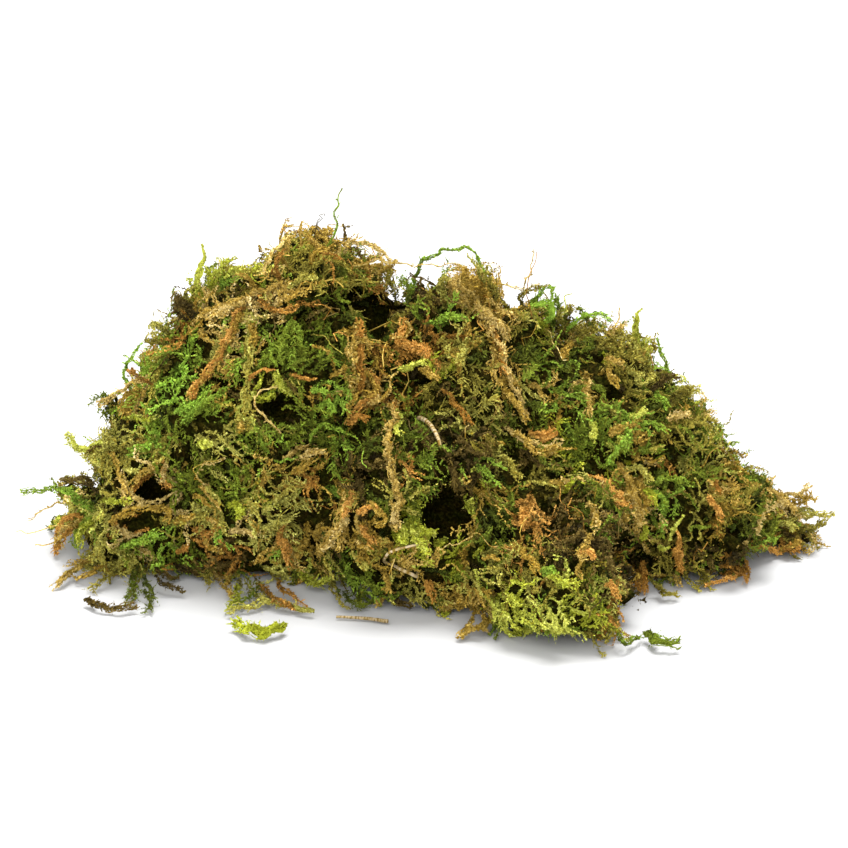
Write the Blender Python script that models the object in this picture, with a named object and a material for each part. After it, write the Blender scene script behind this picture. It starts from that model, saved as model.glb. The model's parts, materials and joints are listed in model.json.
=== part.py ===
"""Clump of dried sheet moss: one tangled heap, the single fronds, stems and twigs that can be told apart on
it, and the scraps that have dropped off it.

Everything is in metres, +Z up. The clump stands on Z = 0 with the middle of its outline at the origin, and
its best side faces -Y. A piece is placed as it is seen from the front: a place is two picture steps, across
and down, and the line of sight through it is followed to the heap. One step is 0.38 mm in the plane through
the origin.
"""

import math
import random

import bmesh
import bpy
from mathutils import Matrix, Vector
from mathutils.bvhtree import BVHTree

MM = 0.001

# The view in which places are given
STEP = 0.38 * MM
ORIGIN_STEPS = (424, 540)
AXIS_STEPS = (424, 424)
EYE_DISTANCE = 0.9
EYE_ELEVATION = math.radians(20)
SIDE = Vector((1, 0, 0))
FORWARD = Vector((0, math.cos(EYE_ELEVATION), -math.sin(EYE_ELEVATION)))
UP = SIDE.cross(FORWARD)
EYE = UP * (ORIGIN_STEPS[1] - AXIS_STEPS[1]) * STEP - FORWARD * EYE_DISTANCE

# The heap: the grain of its skin, and the wads of moss that make up its lumps
SEED = 11
VOXEL = 2.4 * MM
MOUND_TRIANGLES = 5600
WADS = 230
WAD_LENGTH = (11 * MM, 19 * MM)
WAD_WIDTH = (4.5 * MM, 8 * MM)
WAD_HEIGHT = (4.5 * MM, 7.5 * MM)
WAD_SINK = 1.5 * MM
WAD_TILT = 0.45
WAD_LOWEST = 3 * MM
HOLLOW_SINK = 0.25
MERGE = 0.05 * MM

# Solids stop this far from the next one and from the ground
GAP = 0.35 * MM
MOUND_GAP = 0.45 * MM
FLOOR_GAP = 0.4 * MM

# Lobes of the heap: middle and half sizes, in millimetres
LOBES = {
    "peak": ((-46, 4, 48), (43, 54, 66)),
    "peak_left": ((-78, 6, 38), (26, 48, 54)),
    "crest": ((14, 6, 42), (42, 54, 56)),
    "left_flank": ((-98, 2, 22), (26, 42, 40)),
    "left_foot": ((-116, 0, 9), (21, 32, 18)),
    "shoulder": ((58, 2, 34), (40, 50, 44)),
    "right_flank": ((84, 0, 22), (27, 40, 33)),
    "right_slope": ((106, -2, 10), (25, 32, 17)),
    "right_toe": ((128, 0, 4), (20, 17, 8)),
    "front_lobe": ((46, -62, 16), (28, 33, 28)),
    "front_middle": ((5, -44, 26), (39, 28, 38)),
    "front_left": ((-56, -18, 28), (44, 27, 42)),
    "front_right": ((92, -20, 12), (30, 24, 24)),
    "back": ((-20, 56, 28), (74, 42, 42)),
    "back_right": ((56, 46, 20), (46, 36, 30)),
    "back_left": ((-80, 36, 16), (30, 32, 26)),
}

# Dark hollows between the wads: place, then half size in millimetres across, high and deep
HOLLOWS = {
    "under_the_crest": ((376, 306), (17, 8, 13)),
    "beside_the_peak": ((310, 322), (9, 6, 10)),
    "left_pocket": ((226, 398), (9, 5, 10)),
    "middle_pocket": ((286, 404), (8, 6, 9)),
    "left_cave": ((158, 486), (11, 7, 13)),
    "left_slot": ((140, 520), (9, 3, 8)),
    "chasm": ((452, 516), (10, 14, 18)),
    "chasm_top": ((443, 474), (4, 9, 11)),
    "cleft": ((526, 474), (3.5, 7, 9)),
    "right_cave": ((630, 558), (14, 11, 20)),
    "right_pocket": ((718, 540), (9, 6, 10)),
    "right_slot": ((596, 455), (8, 4, 9)),
    "front_slot": ((384, 566), (8, 5, 10)),
    "middle_slot": ((320, 508), (12, 5, 9)),
    "left_undercut": ((186, 570), (20, 6, 20)),
}

# A piece: its shape, its colour, its width in millimetres, where it lies and the places it runs through.
# "heap" lies along the heap with both ends at it, "edge" starts at the heap and leaves it, and "floor" has
# dropped off. A number is the Y, in millimetres, of a piece that stands out from the heap's edge.
PIECES = {
    # along the top edge
    "upright_sprig": ("stem", "green_moss", 1.5, 2, [
        (328, 240), (338, 238), (339, 231), (335, 222), (336, 214), (333, 209), (335, 204), (341, 199),
        (341, 188)]),
    "peak_curl": ("stem", "tan_moss", 1.1, -2, [
        (303, 238), (299, 227), (296, 216), (301, 213), (306, 218), (308, 228)]),
    "peak_branch": ("stem", "tan_moss", 2.2, "heap", [
        (264, 272), (273, 258), (282, 246), (291, 237)]),
    "peak_spray": ("frond", "tan_moss", 5.4, -7, [
        (326, 266), (318, 253), (311, 243), (306, 234), (300, 227)]),
    "ridge_frond": ("frond", "tan_moss", 3.4, 4, [
        (336, 258), (345, 246), (357, 239), (370, 244), (381, 251), (392, 262)]),
    "pale_horn": ("leaf", "lime_moss", 4.0, 6, [
        (192, 292), (197, 281), (201, 270), (204, 258), (202, 244)]),
    "pale_fringe": ("frond", "lime_moss", 5.0, 8, [
        (208, 286), (215, 274), (226, 268), (237, 267), (244, 262)]),
    "hooked_sprig": ("stem", "green_moss", 1.8, 6, [
        (180, 312), (172, 305), (170, 296), (175, 288)]),
    "bare_stem": ("stem", "tan_moss", 1.3, 0, [
        (352, 268), (372, 260), (395, 261), (420, 265), (438, 266), (452, 262), (466, 268)]),
    "arched_sprig": ("frond", "green_moss", 1.9, 3, [
        (412, 290), (420, 262), (433, 254), (448, 251), (465, 245), (474, 253), (482, 264), (486, 282)]),
    "crest_stem": ("stem", "dark_moss", 1.2, -8, [
        (404, 288), (410, 272), (425, 281), (438, 287), (452, 292)]),
    "crest_runner": ("stem", "tan_moss", 1.3, 4, [
        (490, 282), (500, 279), (509, 287), (519, 292), (529, 287), (540, 285)]),
    "crest_hook": ("frond", "green_moss", 2.4, 0, [
        (544, 284), (554, 284), (557, 291), (553, 300), (546, 309)]),
    "crest_thread": ("stem", "tan_moss", 0.9, 9, [
        (524, 290), (527, 275), (533, 271), (532, 260), (534, 249)]),
    "crest_leaf": ("leaf", "green_moss", 5.0, -2, [
        (560, 312), (550, 305), (540, 302), (530, 306)]),
    "slope_sprig": ("frond", "green_moss", 2.6, 4, [
        (572, 326), (580, 316), (592, 311), (602, 315), (612, 322)]),
    "slope_stub": ("stem", "tan_moss", 1.6, 2, [
        (612, 336), (616, 326), (619, 317), (619, 308)]),
    "slope_horn": ("leaf", "lime_moss", 3.2, 2, [
        (638, 344), (635, 332), (634, 320), (637, 313), (643, 309)]),
    "slope_needle": ("frond", "green_moss", 1.6, 2, [
        (667, 382), (664, 368), (661, 353), (657, 338)]),
    "slope_leaf": ("leaf", "olive_moss", 5.4, 0, [
        (674, 394), (681, 387), (691, 387), (700, 392)]),
    # at the two ends
    "left_sprig": ("frond", "green_moss", 2.0, 6, [
        (130, 388), (125, 378), (124, 367), (131, 357), (137, 348), (143, 343)]),
    "left_tan_frond": ("frond", "tan_moss", 3.4, 0, [
        (146, 376), (130, 384), (114, 396), (97, 405)]),
    "left_leaf": ("leaf", "lime_moss", 5.6, -4, [
        (118, 450), (103, 450), (88, 453), (76, 446), (66, 433)]),
    "left_green_tail": ("frond", "green_moss", 3.4, -6, [
        (92, 508), (76, 497), (65, 486), (52, 489), (38, 491), (20, 492)]),
    "left_dark_frond": ("frond", "dark_moss", 2.6, -4, [
        (98, 494), (86, 484), (72, 482), (60, 479)]),
    "left_tan_tail": ("stem", "tan_moss", 1.5, -8, [
        (84, 512), (68, 500), (56, 501), (42, 512), (28, 521)]),
    "left_brush": ("frond", "rust_moss", 5.6, "edge", [
        (88, 508), (72, 518), (64, 529), (58, 541), (56, 552)]),
    "left_green_hook": ("leaf", "green_moss", 3.2, "edge", [
        (92, 518), (85, 527), (81, 537), (78, 547)]),
    "right_tan_tip": ("frond", "tan_moss", 3.6, 2, [
        (772, 500), (787, 498), (800, 497), (807, 489), (809, 483)]),
    "right_olive_tip": ("frond", "olive_moss", 4.0, "edge", [
        (786, 522), (800, 516), (813, 516), (824, 518), (834, 512)]),
    "right_arc": ("frond", "tan_moss", 2.6, "heap", [
        (756, 532), (758, 518), (764, 507), (773, 503), (782, 508), (788, 519)]),
    "right_low_frond": ("frond", "rust_moss", 4.0, "edge", [
        (756, 545), (770, 549), (784, 549), (798, 541)]),
    "right_foot_fork": ("frond", "rust_moss", 3.6, -30, [
        (752, 568), (736, 576), (720, 580), (704, 586)]),
    # across the face
    "branching_frond": ("frond", "tan_moss", 4.4, "heap", [
        (196, 324), (208, 314), (224, 309), (241, 303), (257, 296), (275, 290), (290, 288)]),
    "trailing_frond": ("frond", "rust_moss", 6.4, "heap", [
        (240, 312), (238, 330), (226, 350), (214, 370), (202, 384), (190, 398)]),
    "olive_trail": ("frond", "olive_moss", 5.4, "heap", [
        (250, 338), (253, 352), (248, 372), (252, 392), (246, 414)]),
    "green_arch": ("frond", "green_moss", 3.4, "heap", [
        (282, 362), (285, 338), (291, 316), (298, 334), (300, 354)]),
    "ladder_frond": ("frond", "rust_moss", 5.0, "heap", [
        (359, 320), (355, 338), (357, 356), (359, 374), (360, 392)]),
    "looped_frond": ("frond", "rust_moss", 3.0, "heap", [
        (364, 372), (378, 384), (377, 397), (362, 401), (350, 412), (345, 424)]),
    "thread_and_curl": ("frond", "rust_moss", 4.6, "heap", [
        (404, 319), (409, 332), (397, 339), (405, 350), (420, 347), (432, 354)]),
    "crest_gold_frond": ("leaf", "tan_moss", 8.0, "heap", [
        (454, 276), (458, 289), (470, 300), (485, 311), (498, 322), (511, 334)]),
    "long_gold_frond": ("frond", "tan_moss", 4.6, "heap", [
        (488, 328), (497, 346), (502, 364), (505, 380), (516, 396), (526, 418)]),
    "bright_trail": ("frond", "green_moss", 5.4, "heap", [
        (224, 388), (213, 399), (200, 411), (186, 421)]),
    "bare_thread": ("stem", "tan_moss", 1.1, "heap", [
        (278, 388), (267, 388), (262, 402), (268, 418), (280, 434)]),
    "bare_loop": ("stem", "tan_moss", 1.1, "heap", [
        (224, 458), (206, 463), (193, 471), (197, 481), (209, 487)]),
    "pale_trail": ("frond", "tan_moss", 4.6, "heap", [
        (392, 404), (395, 420), (388, 438), (390, 460), (392, 482), (396, 506), (393, 528)]),
    "grey_twig": ("twig", "bark", 2.2, "heap", [
        (420, 417), (429, 426), (437, 434), (440, 445)]),
    "forked_twig": ("twig", "bark", 1.6, "heap", [
        (420, 544), (404, 546), (390, 550), (385, 556), (391, 562), (404, 566), (416, 575)]),
    "crossed_frond": ("frond", "tan_moss", 5.0, "heap", [
        (350, 488), (348, 506), (340, 524), (330, 540), (318, 553)]),
    "right_gold_curl": ("frond", "tan_moss", 3.6, "heap", [
        (508, 431), (520, 436), (533, 446), (547, 449), (562, 442)]),
    "flat_gold_frond": ("leaf", "tan_moss", 9.0, "heap", [
        (622, 470), (628, 486), (636, 502), (641, 518), (636, 532)]),
    "rust_strip": ("frond", "rust_moss", 4.2, "heap", [
        (588, 480), (600, 489), (612, 498), (624, 504)]),
    "foot_stub": ("stem", "rust_moss", 2.8, "heap", [
        (677, 532), (680, 545), (681, 558), (681, 571)]),
    # dropped round the foot
    "brown_scrap": ("frond", "dark_moss", 3.2, "floor", [
        (87, 601), (98, 607), (110, 611), (124, 611), (136, 607)]),
    "lime_scrap": ("leaf", "lime_moss", 5.0, "floor", [
        (238, 622), (247, 632), (260, 636), (273, 632), (284, 626)]),
    "foot_strand": ("frond", "olive_moss", 3.2, "floor", [
        (226, 613), (246, 609), (266, 604), (286, 605), (300, 612), (314, 613)]),
    "twig_scrap": ("twig", "bark", 1.8, "floor", [
        (337, 616), (354, 618), (372, 618), (387, 622)]),
    "right_scrap": ("leaf", "green_moss", 5.0, "floor", [
        (648, 634), (654, 642), (664, 647), (680, 645)]),
}

# How wide each shape is along its run, and how thick for its width
RUN = (0, 0.15, 0.35, 0.65, 0.85, 1)
SHAPES = {
    "stem": ((1.0, 1.0, 0.9, 0.8, 0.65, 0.4), 0.8),
    "frond": ((0.6, 1.0, 1.0, 0.9, 0.7, 0.2), 0.4),
    "leaf": ((0.4, 0.75, 1.0, 0.9, 0.5, 0.12), 0.3),
    "twig": ((0.9, 1.0, 1.0, 1.0, 0.9, 0.8), 0.9),
}
NOTCH = 0.5
HALF_LEAST = 0.35 * MM
THICK_LEAST = 0.3 * MM
SMOOTH_STEPS = 5
STATION_LEAST = 1.3 * MM
BEND_SHARE = 0.75
THINNER = (1, 0.85, 0.7, 0.55)
STATION_WIDTHS = {"stem": 1.6, "frond": 0.6, "leaf": 0.6, "twig": 1.6}

# How a piece lies on the heap: its least height, and how it is lifted until it is clear
CLEARANCE = 1.0 * MM
CLEARANCE_PASSES = 3
ROOT_GAP = 0.65 * MM
LIFT = 0.4 * MM
LIFTS = 8

COLOURS = {
    "olive_moss": (0.115, 0.125, 0.022),
    "green_moss": (0.070, 0.165, 0.018),
    "lime_moss": (0.260, 0.330, 0.040),
    "tan_moss": (0.380, 0.220, 0.060),
    "rust_moss": (0.330, 0.130, 0.030),
    "dark_moss": (0.060, 0.038, 0.014),
    "bark": (0.210, 0.140, 0.100),
}
ROUGHNESS = 0.8


# ---- objects and meshes ----


def material(name):
    """One dry, rough surface for each colour of moss."""
    found = bpy.data.materials.get(name)
    if found:
        return found
    made = bpy.data.materials.new(name)
    made.use_nodes = True
    shader = made.node_tree.nodes["Principled BSDF"]
    shader.inputs["Base Color"].default_value = (*COLOURS[name], 1)
    shader.inputs["Roughness"].default_value = ROUGHNESS
    made.diffuse_color = (*COLOURS[name], 1)
    return made


def new_object(name, mesh, colour=None):
    """An object of this mesh, in its colour."""
    made = bpy.data.objects.new(name, mesh)
    bpy.context.scene.collection.objects.link(made)
    if colour:
        mesh.materials.clear()
        mesh.materials.append(material(colour))
    return made


def mesh_from(shape, name):
    """The bmesh as a mesh, and the bmesh is gone."""
    mesh = bpy.data.meshes.new(name)
    shape.to_mesh(mesh)
    shape.free()
    return mesh


def helper(obj):
    """The object as a cutter, which isn't part of the model."""
    obj.hide_render = True
    obj.display_type = "WIRE"
    return obj


def apply_modifiers(obj):
    """The object's mesh becomes what its modifiers made of it."""
    bpy.context.view_layer.update()
    graph = bpy.context.evaluated_depsgraph_get()
    mesh = bpy.data.meshes.new_from_object(obj.evaluated_get(graph))
    obj.modifiers.clear()
    old, obj.data = obj.data, mesh
    bpy.data.meshes.remove(old)


def cut(obj, other, operation):
    """The object after a Boolean with another."""
    boolean = obj.modifiers.new(operation.lower(), "BOOLEAN")
    boolean.operation = operation
    boolean.object = other
    boolean.use_self = True
    apply_modifiers(obj)


def box_of(points):
    """The lowest and highest corners."""
    points = list(points)
    low = Vector(min(p[k] for p in points) for k in range(3))
    high = Vector(max(p[k] for p in points) for k in range(3))
    return low, high


def spread(points):
    """The diagonal of the points' box."""
    low, high = box_of(points)
    return (high - low).length


def bodies_of(shape):
    """The vertices of each separate body."""
    left, bodies = set(shape.verts), []
    while left:
        body, edge = set(), [left.pop()]
        while edge:
            vert = edge.pop()
            body.add(vert)
            near = {link.other_vert(vert) for link in vert.link_edges} & left
            left -= near
            edge += near
        bodies.append(body)
    return bodies


def keep_largest(obj):
    """Only the largest body stays, without edges too short to matter."""
    shape = bmesh.new()
    shape.from_mesh(obj.data)
    bmesh.ops.remove_doubles(shape, verts=shape.verts, dist=MERGE)
    bmesh.ops.dissolve_degenerate(shape, edges=shape.edges, dist=MERGE)
    bodies = bodies_of(shape)
    largest = max(bodies, key=lambda body: spread(v.co for v in body))
    loose = [v for body in bodies if body is not largest for v in body]
    bmesh.ops.delete(shape, geom=loose, context="VERTS")
    shape.to_mesh(obj.data)
    shape.free()


def tree_of(mesh):
    """The mesh's faces, ready for rays and nearest points."""
    return BVHTree.FromPolygons([v.co for v in mesh.vertices], [p.vertices[:] for p in mesh.polygons])


def meet(one, two):
    """True where the two objects' skins cross."""
    return bool(tree_of(one.data).overlap(tree_of(two.data)))


def grown(obj, distance):
    """A cutter: the object with its skin moved out."""
    copy = helper(new_object(obj.name + "_cutter", obj.data.copy()))
    normals = [v.normal.copy() for v in copy.data.vertices]
    for vert, normal in zip(copy.data.vertices, normals):
        vert.co += normal * distance
    copy.data.update()
    return copy


# ---- places ----


def sight(place):
    """The direction from the eye through a place."""
    across, down = place
    point = SIDE * (across - ORIGIN_STEPS[0]) * STEP + UP * (ORIGIN_STEPS[1] - down) * STEP
    return (point - EYE).normalized()


def at_depth(place, depth):
    """The point seen at a place, at this Y."""
    way = sight(place)
    return EYE + way * ((depth - EYE.y) / way.y)


def at_height(place, height):
    """The point seen at a place, at this Z."""
    way = sight(place)
    return EYE + way * ((height - EYE.z) / way.z)


def on_heap(tree, place, lift):
    """The point seen on the heap at a place, lifted off it, or beside the heap's nearest point."""
    way = sight(place)
    hit, normal = tree.ray_cast(EYE, way)[:2]
    if hit is None:
        nearest = tree.find_nearest(at_depth(place, 0))[0]
        return at_depth(place, nearest.y)
    return hit + (normal * 0.6 - way * 0.4) * lift


# ---- the heap ----


def add_ellipsoid(shape, middle, half, turn, detail):
    """A closed ball, stretched, turned and moved into place."""
    place = Matrix.Translation(middle) @ turn @ Matrix.Diagonal((*half, 1))
    bmesh.ops.create_icosphere(shape, subdivisions=detail, radius=1, matrix=place)


def direction_above(rng):
    """A random direction, seldom downwards."""
    height = rng.uniform(-0.25, 1)
    angle = rng.uniform(0, math.tau)
    flat = math.sqrt(1 - height * height)
    return Vector((flat * math.cos(angle), flat * math.sin(angle), height))


def laid_on(normal, spin, tilt):
    """A turn that lays X and Y on a surface at any spin, then lifts one end of X."""
    upright = normal.to_track_quat("Z", "Y").to_matrix().to_4x4()
    return upright @ Matrix.Rotation(spin, 4, "Z") @ Matrix.Rotation(tilt, 4, "Y")


def inside_another(point, own):
    """True well inside a lobe other than its own."""
    for name, (middle, half) in LOBES.items():
        share = sum(((p / MM - m) / h) ** 2 for p, m, h in zip(point, middle, half))
        if name != own and share < 0.8:
            return True
    return False


def add_wads(shape):
    """Longish wads of moss that lie every way over the lobes."""
    rng = random.Random(SEED)
    names = list(LOBES)
    areas = [half[0] * half[1] + half[1] * half[2] + half[0] * half[2] for _, half in LOBES.values()]
    made = 0
    while made < WADS:
        name = rng.choices(names, areas)[0]
        middle, half = (Vector(v) * MM for v in LOBES[name])
        way = direction_above(rng)
        point = middle + Vector(w * h for w, h in zip(way, half))
        if point.z < WAD_LOWEST or inside_another(point, name):
            continue
        normal = Vector(w / h for w, h in zip(way, half)).normalized()
        size = [rng.uniform(*limits) for limits in (WAD_LENGTH, WAD_WIDTH, WAD_HEIGHT)]
        tilt = rng.uniform(-WAD_TILT, WAD_TILT)
        turn = laid_on(normal, rng.uniform(0, math.tau), tilt)
        add_ellipsoid(shape, point - normal * WAD_SINK, size, turn, 2)
        made += 1


def make_hollows(tree):
    """A ball at each hollow, sunk in the heap along the line of sight."""
    turn = Matrix((SIDE, UP, -FORWARD)).transposed().to_4x4()
    shape = bmesh.new()
    for place, half in HOLLOWS.values():
        half = Vector(half) * MM
        middle = tree.ray_cast(EYE, sight(place))[0] + FORWARD * half.z * HOLLOW_SINK
        add_ellipsoid(shape, middle, half, turn, 2)
    return helper(new_object("hollows", mesh_from(shape, "hollows")))


def make_ground_block():
    """A block of all the space above the ground."""
    shape = bmesh.new()
    bmesh.ops.create_cube(shape, size=1, matrix=Matrix.Translation((0, 0, 0.5)))
    return helper(new_object("above_ground", mesh_from(shape, "above_ground")))


def make_mound():
    """The tangled heap as one solid, flat underneath."""
    shape = bmesh.new()
    for middle, half in LOBES.values():
        add_ellipsoid(shape, Vector(middle) * MM, Vector(half) * MM, Matrix.Identity(4), 3)
    add_wads(shape)
    mound = new_object("moss_mound", mesh_from(shape, "moss_mound"))
    skin = mound.modifiers.new("one_skin", "REMESH")
    skin.mode = "VOXEL"
    skin.voxel_size = VOXEL
    apply_modifiers(mound)
    keep_largest(mound)
    hollows = make_hollows(tree_of(mound.data))
    cut(mound, hollows, "DIFFERENCE")
    keep_largest(mound)
    fewer = mound.modifiers.new("fewer", "DECIMATE")
    fewer.ratio = 0.5 * MOUND_TRIANGLES / len(mound.data.polygons)
    apply_modifiers(mound)
    ground = make_ground_block()
    cut(mound, ground, "INTERSECT")
    keep_largest(mound)
    for tool in (hollows, ground):
        bpy.data.objects.remove(tool)
    mound.data.materials.clear()
    mound.data.materials.append(material("olive_moss"))
    return mound


# ---- single pieces ----


def along(values, share):
    """The value at a share of the run."""
    for k in range(1, len(RUN)):
        if share <= RUN[k]:
            part = (share - RUN[k - 1]) / (RUN[k] - RUN[k - 1])
            return values[k - 1] + (values[k] - values[k - 1]) * part
    return values[-1]


def smooth_run(points):
    """A Catmull-Rom curve through the points."""
    run = []
    for k in range(len(points) - 1):
        before, start = points[max(k - 1, 0)], points[k]
        end, after = points[k + 1], points[min(k + 2, len(points) - 1)]
        for step in range(SMOOTH_STEPS):
            t = step / SMOOTH_STEPS
            bend = (2 * before - 5 * start + 4 * end - after) * t
            bend += (3 * start - before - 3 * end + after) * t * t
            run.append(start + (end - before + bend) * t * 0.5)
    return run + [points[-1].copy()]


def even_run(points, spacing):
    """The same run with its points an even distance apart, about this far."""
    lengths = [(b - a).length for a, b in zip(points, points[1:])]
    count = max(3, round(sum(lengths) / spacing))
    run, k, passed = [points[0]], 0, 0
    for step in range(1, count):
        goal = sum(lengths) * step / count
        while passed + lengths[k] < goal:
            passed += lengths[k]
            k += 1
        run.append(points[k].lerp(points[k + 1], (goal - passed) / lengths[k]))
    return run + [points[-1]]


def route(tree, width, where, places):
    """The piece's middle line in space, still without the ends that meet the heap."""
    lowest = FLOOR_GAP + width * 0.5
    if where == "floor":
        return [at_height(place, lowest) for place in places]
    if where in ("heap", "edge"):
        points = [on_heap(tree, place, CLEARANCE + width * 0.3) for place in places]
    else:
        points = [at_depth(place, where * MM) for place in places]
    return [p if p.z > lowest else at_height(place, lowest) for p, place in zip(points, places)]


def clear_of(tree, points, width, distance):
    """The points, those too near the heap moved out, with room for the width of the strip."""
    last = len(points) - 1
    for _ in range(CLEARANCE_PASSES):
        moved = []
        for k, point in enumerate(points):
            tangent = points[min(k + 1, last)] - points[max(k - 1, 0)]
            normal = tree.find_nearest(point)[1]
            side = tangent.cross(normal).normalized() * width * 0.4
            push = 0
            for probe in (point, point - side, point + side):
                near, out = tree.find_nearest(probe)[:2]
                push = max(push, distance - (probe - near).dot(out))
            moved.append(point + normal * push)
        points = moved
    lowest = FLOOR_GAP + width * 0.5
    return [Vector((p.x, p.y, max(p.z, lowest))) for p in points]


def root(tree, point, half):
    """The place just clear of the heap where an end of this half width meets it."""
    hit, normal = tree.find_nearest(point)[:2]
    way = (point - hit).normalized()
    flat = math.sqrt(max(0, 1 - way.dot(normal) ** 2))
    return hit + normal * (ROOT_GAP + half * flat)


def bend_radius(before, point, after):
    """How sharply a run bends at a point, as the radius of the bend."""
    one, two = point - before, after - point
    step = min(one.length, two.length)
    return step / max(2 * math.sin(one.angle(two) / 2), MERGE)


def strip_mesh(name, shape, width, points, facings):
    """A closed strip, four-sided across, with notched edges on a frond. It narrows where it bends sharply."""
    widths, share_thick = SHAPES[shape]
    last = len(points) - 1
    verts, faces, side = [], [], None
    for k, point in enumerate(points):
        before, after = points[max(k - 1, 0)], points[min(k + 1, last)]
        tangent = after - before
        turned = tangent.cross(facings[k]).normalized()
        if side and side.dot(turned) < 0:
            turned = -turned
        side = turned if side is None else (side + turned).normalized()
        face = side.cross(tangent).normalized()
        side = tangent.cross(face).normalized()
        half = width * 0.5 * along(widths, k / last)
        thick = max(half * share_thick, THICK_LEAST)
        if shape == "frond" and k % 2:
            half *= NOTCH
        half = max(half, HALF_LEAST)
        if 0 < k < last:
            room = bend_radius(before, point, after) * BEND_SHARE
            half, thick = min(half, room), min(thick, room)
        verts += [point - side * half, point + face * thick, point + side * half, point - face * thick]
    for k in range(last):
        for c in range(4):
            d = (c + 1) % 4
            faces.append((4 * k + c, 4 * k + d, 4 * k + 4 + d, 4 * k + 4 + c))
    faces += [(3, 2, 1, 0), tuple(4 * last + c for c in range(4))]
    mesh = bpy.data.meshes.new(name)
    mesh.from_pydata(verts, [], faces)
    strip = bmesh.new()
    strip.from_mesh(mesh)
    bmesh.ops.triangulate(strip, faces=strip.faces)
    bmesh.ops.recalc_face_normals(strip, faces=strip.faces)
    strip.to_mesh(mesh)
    strip.free()
    return mesh


def crosses_itself(obj):
    """True where faces of the object that don't touch at a corner cross."""
    tree = tree_of(obj.data)
    corners = [set(p.vertices) for p in obj.data.polygons]
    return any(not corners[one] & corners[two] for one, two in tree.overlap(tree))


def make_piece(name, tree, extra, share):
    """One frond, stem, leaf or twig, held this much further off the heap, at this share of its width."""
    shape, colour, width, where, places = PIECES[name]
    width *= MM * share
    points = smooth_run(route(tree, width, where, places))
    points = even_run(points, STATION_LEAST + width * STATION_WIDTHS[shape])
    widths = SHAPES[shape][0]
    if where != "floor":
        points = clear_of(tree, points, width, CLEARANCE + extra)
        points.insert(0, root(tree, points[0], width * 0.5 * widths[0]))
    if where == "heap":
        points.append(root(tree, points[-1], width * 0.5 * widths[-1]))
    facings = [-FORWARD] * len(points)
    if where == "floor":
        facings = [Vector((0, 0, 1))] * len(points)
    if where == "heap":
        facings = [tree.find_nearest(p)[1] - FORWARD * 0.5 for p in points]
    return new_object(name, strip_mesh(name, shape, width, points, facings), colour)


def make_clear_piece(name, tree, mound_cutter):
    """The piece at the first height and width at which it is clear of the heap and of itself."""
    for share in THINNER:
        for extra in range(LIFTS):
            piece = make_piece(name, tree, extra * LIFT, share)
            if not meet(piece, mound_cutter) and not crosses_itself(piece):
                return piece
            bpy.data.objects.remove(piece)
    return make_piece(name, tree, 0, THINNER[-1])


def centre_all():
    """The middle of the whole outline comes to the origin, at ground level."""
    low, high = box_of(v.co for obj in bpy.data.objects for v in obj.data.vertices)
    shift = Vector((-(low.x + high.x) / 2, -(low.y + high.y) / 2, -low.z))
    for obj in bpy.data.objects:
        obj.data.transform(Matrix.Translation(shift))
        obj.data.shade_smooth()
        obj.data.set_sharp_from_angle(angle=math.radians(40))


def main():
    for obj in list(bpy.data.objects):
        bpy.data.objects.remove(obj)
    mound = make_mound()
    tree = tree_of(mound.data)
    cutters = [grown(mound, MOUND_GAP)]
    for name in PIECES:
        piece = make_clear_piece(name, tree, cutters[0])
        met = [cutter for cutter in cutters if meet(piece, cutter)]
        for cutter in met:
            cut(piece, cutter, "DIFFERENCE")
        if met:
            keep_largest(piece)
        cutters.append(grown(piece, GAP))
    for cutter in cutters:
        bpy.data.objects.remove(cutter)
    centre_all()


main()
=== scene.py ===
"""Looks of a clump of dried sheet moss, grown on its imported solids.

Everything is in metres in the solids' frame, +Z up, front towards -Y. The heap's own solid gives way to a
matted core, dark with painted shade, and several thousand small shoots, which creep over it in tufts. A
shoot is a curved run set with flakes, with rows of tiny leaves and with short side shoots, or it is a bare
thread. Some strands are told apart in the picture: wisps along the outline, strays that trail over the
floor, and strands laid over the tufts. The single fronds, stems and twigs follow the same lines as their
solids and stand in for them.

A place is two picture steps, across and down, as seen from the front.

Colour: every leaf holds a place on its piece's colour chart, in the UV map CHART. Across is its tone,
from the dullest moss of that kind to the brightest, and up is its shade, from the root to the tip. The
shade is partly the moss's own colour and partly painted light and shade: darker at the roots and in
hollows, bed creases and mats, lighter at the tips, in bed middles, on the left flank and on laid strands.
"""

import heapq
import json
import math

import bpy
import numpy as np
from mathutils import Matrix, Vector
from mathutils.bvhtree import BVHTree
from mathutils.kdtree import KDTree


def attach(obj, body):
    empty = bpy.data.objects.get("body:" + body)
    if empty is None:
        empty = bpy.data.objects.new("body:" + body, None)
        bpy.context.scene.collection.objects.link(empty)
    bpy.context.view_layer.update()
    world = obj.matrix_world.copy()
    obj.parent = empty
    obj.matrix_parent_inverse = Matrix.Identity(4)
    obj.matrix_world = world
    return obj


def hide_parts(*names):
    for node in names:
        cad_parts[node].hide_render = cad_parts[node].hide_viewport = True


MM = 0.001

# The view in which places are given, as for the solids, which were centred after they were placed
STEP = 0.38 * MM
ORIGIN_STEPS = (424, 540)
AXIS_STEPS = (424, 424)
FRAME_STEPS = 848
EYE_DISTANCE = 0.9
EYE_ELEVATION = math.radians(20)
CENTRING = Vector((-2.102, -0.534, 0)) * MM
SIDE = Vector((1, 0, 0))
FORWARD = Vector((0, math.cos(EYE_ELEVATION), -math.sin(EYE_ELEVATION)))
UP = SIDE.cross(FORWARD)
EYE = UP * (ORIGIN_STEPS[1] - AXIS_STEPS[1]) * STEP - FORWARD * EYE_DISTANCE + CENTRING
SENSOR_MM = 36

SEED = 7
CHART = "OFBake"
MOST_TRIANGLES = 190_000
GROUND_GAP = 0.15 * MM

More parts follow.
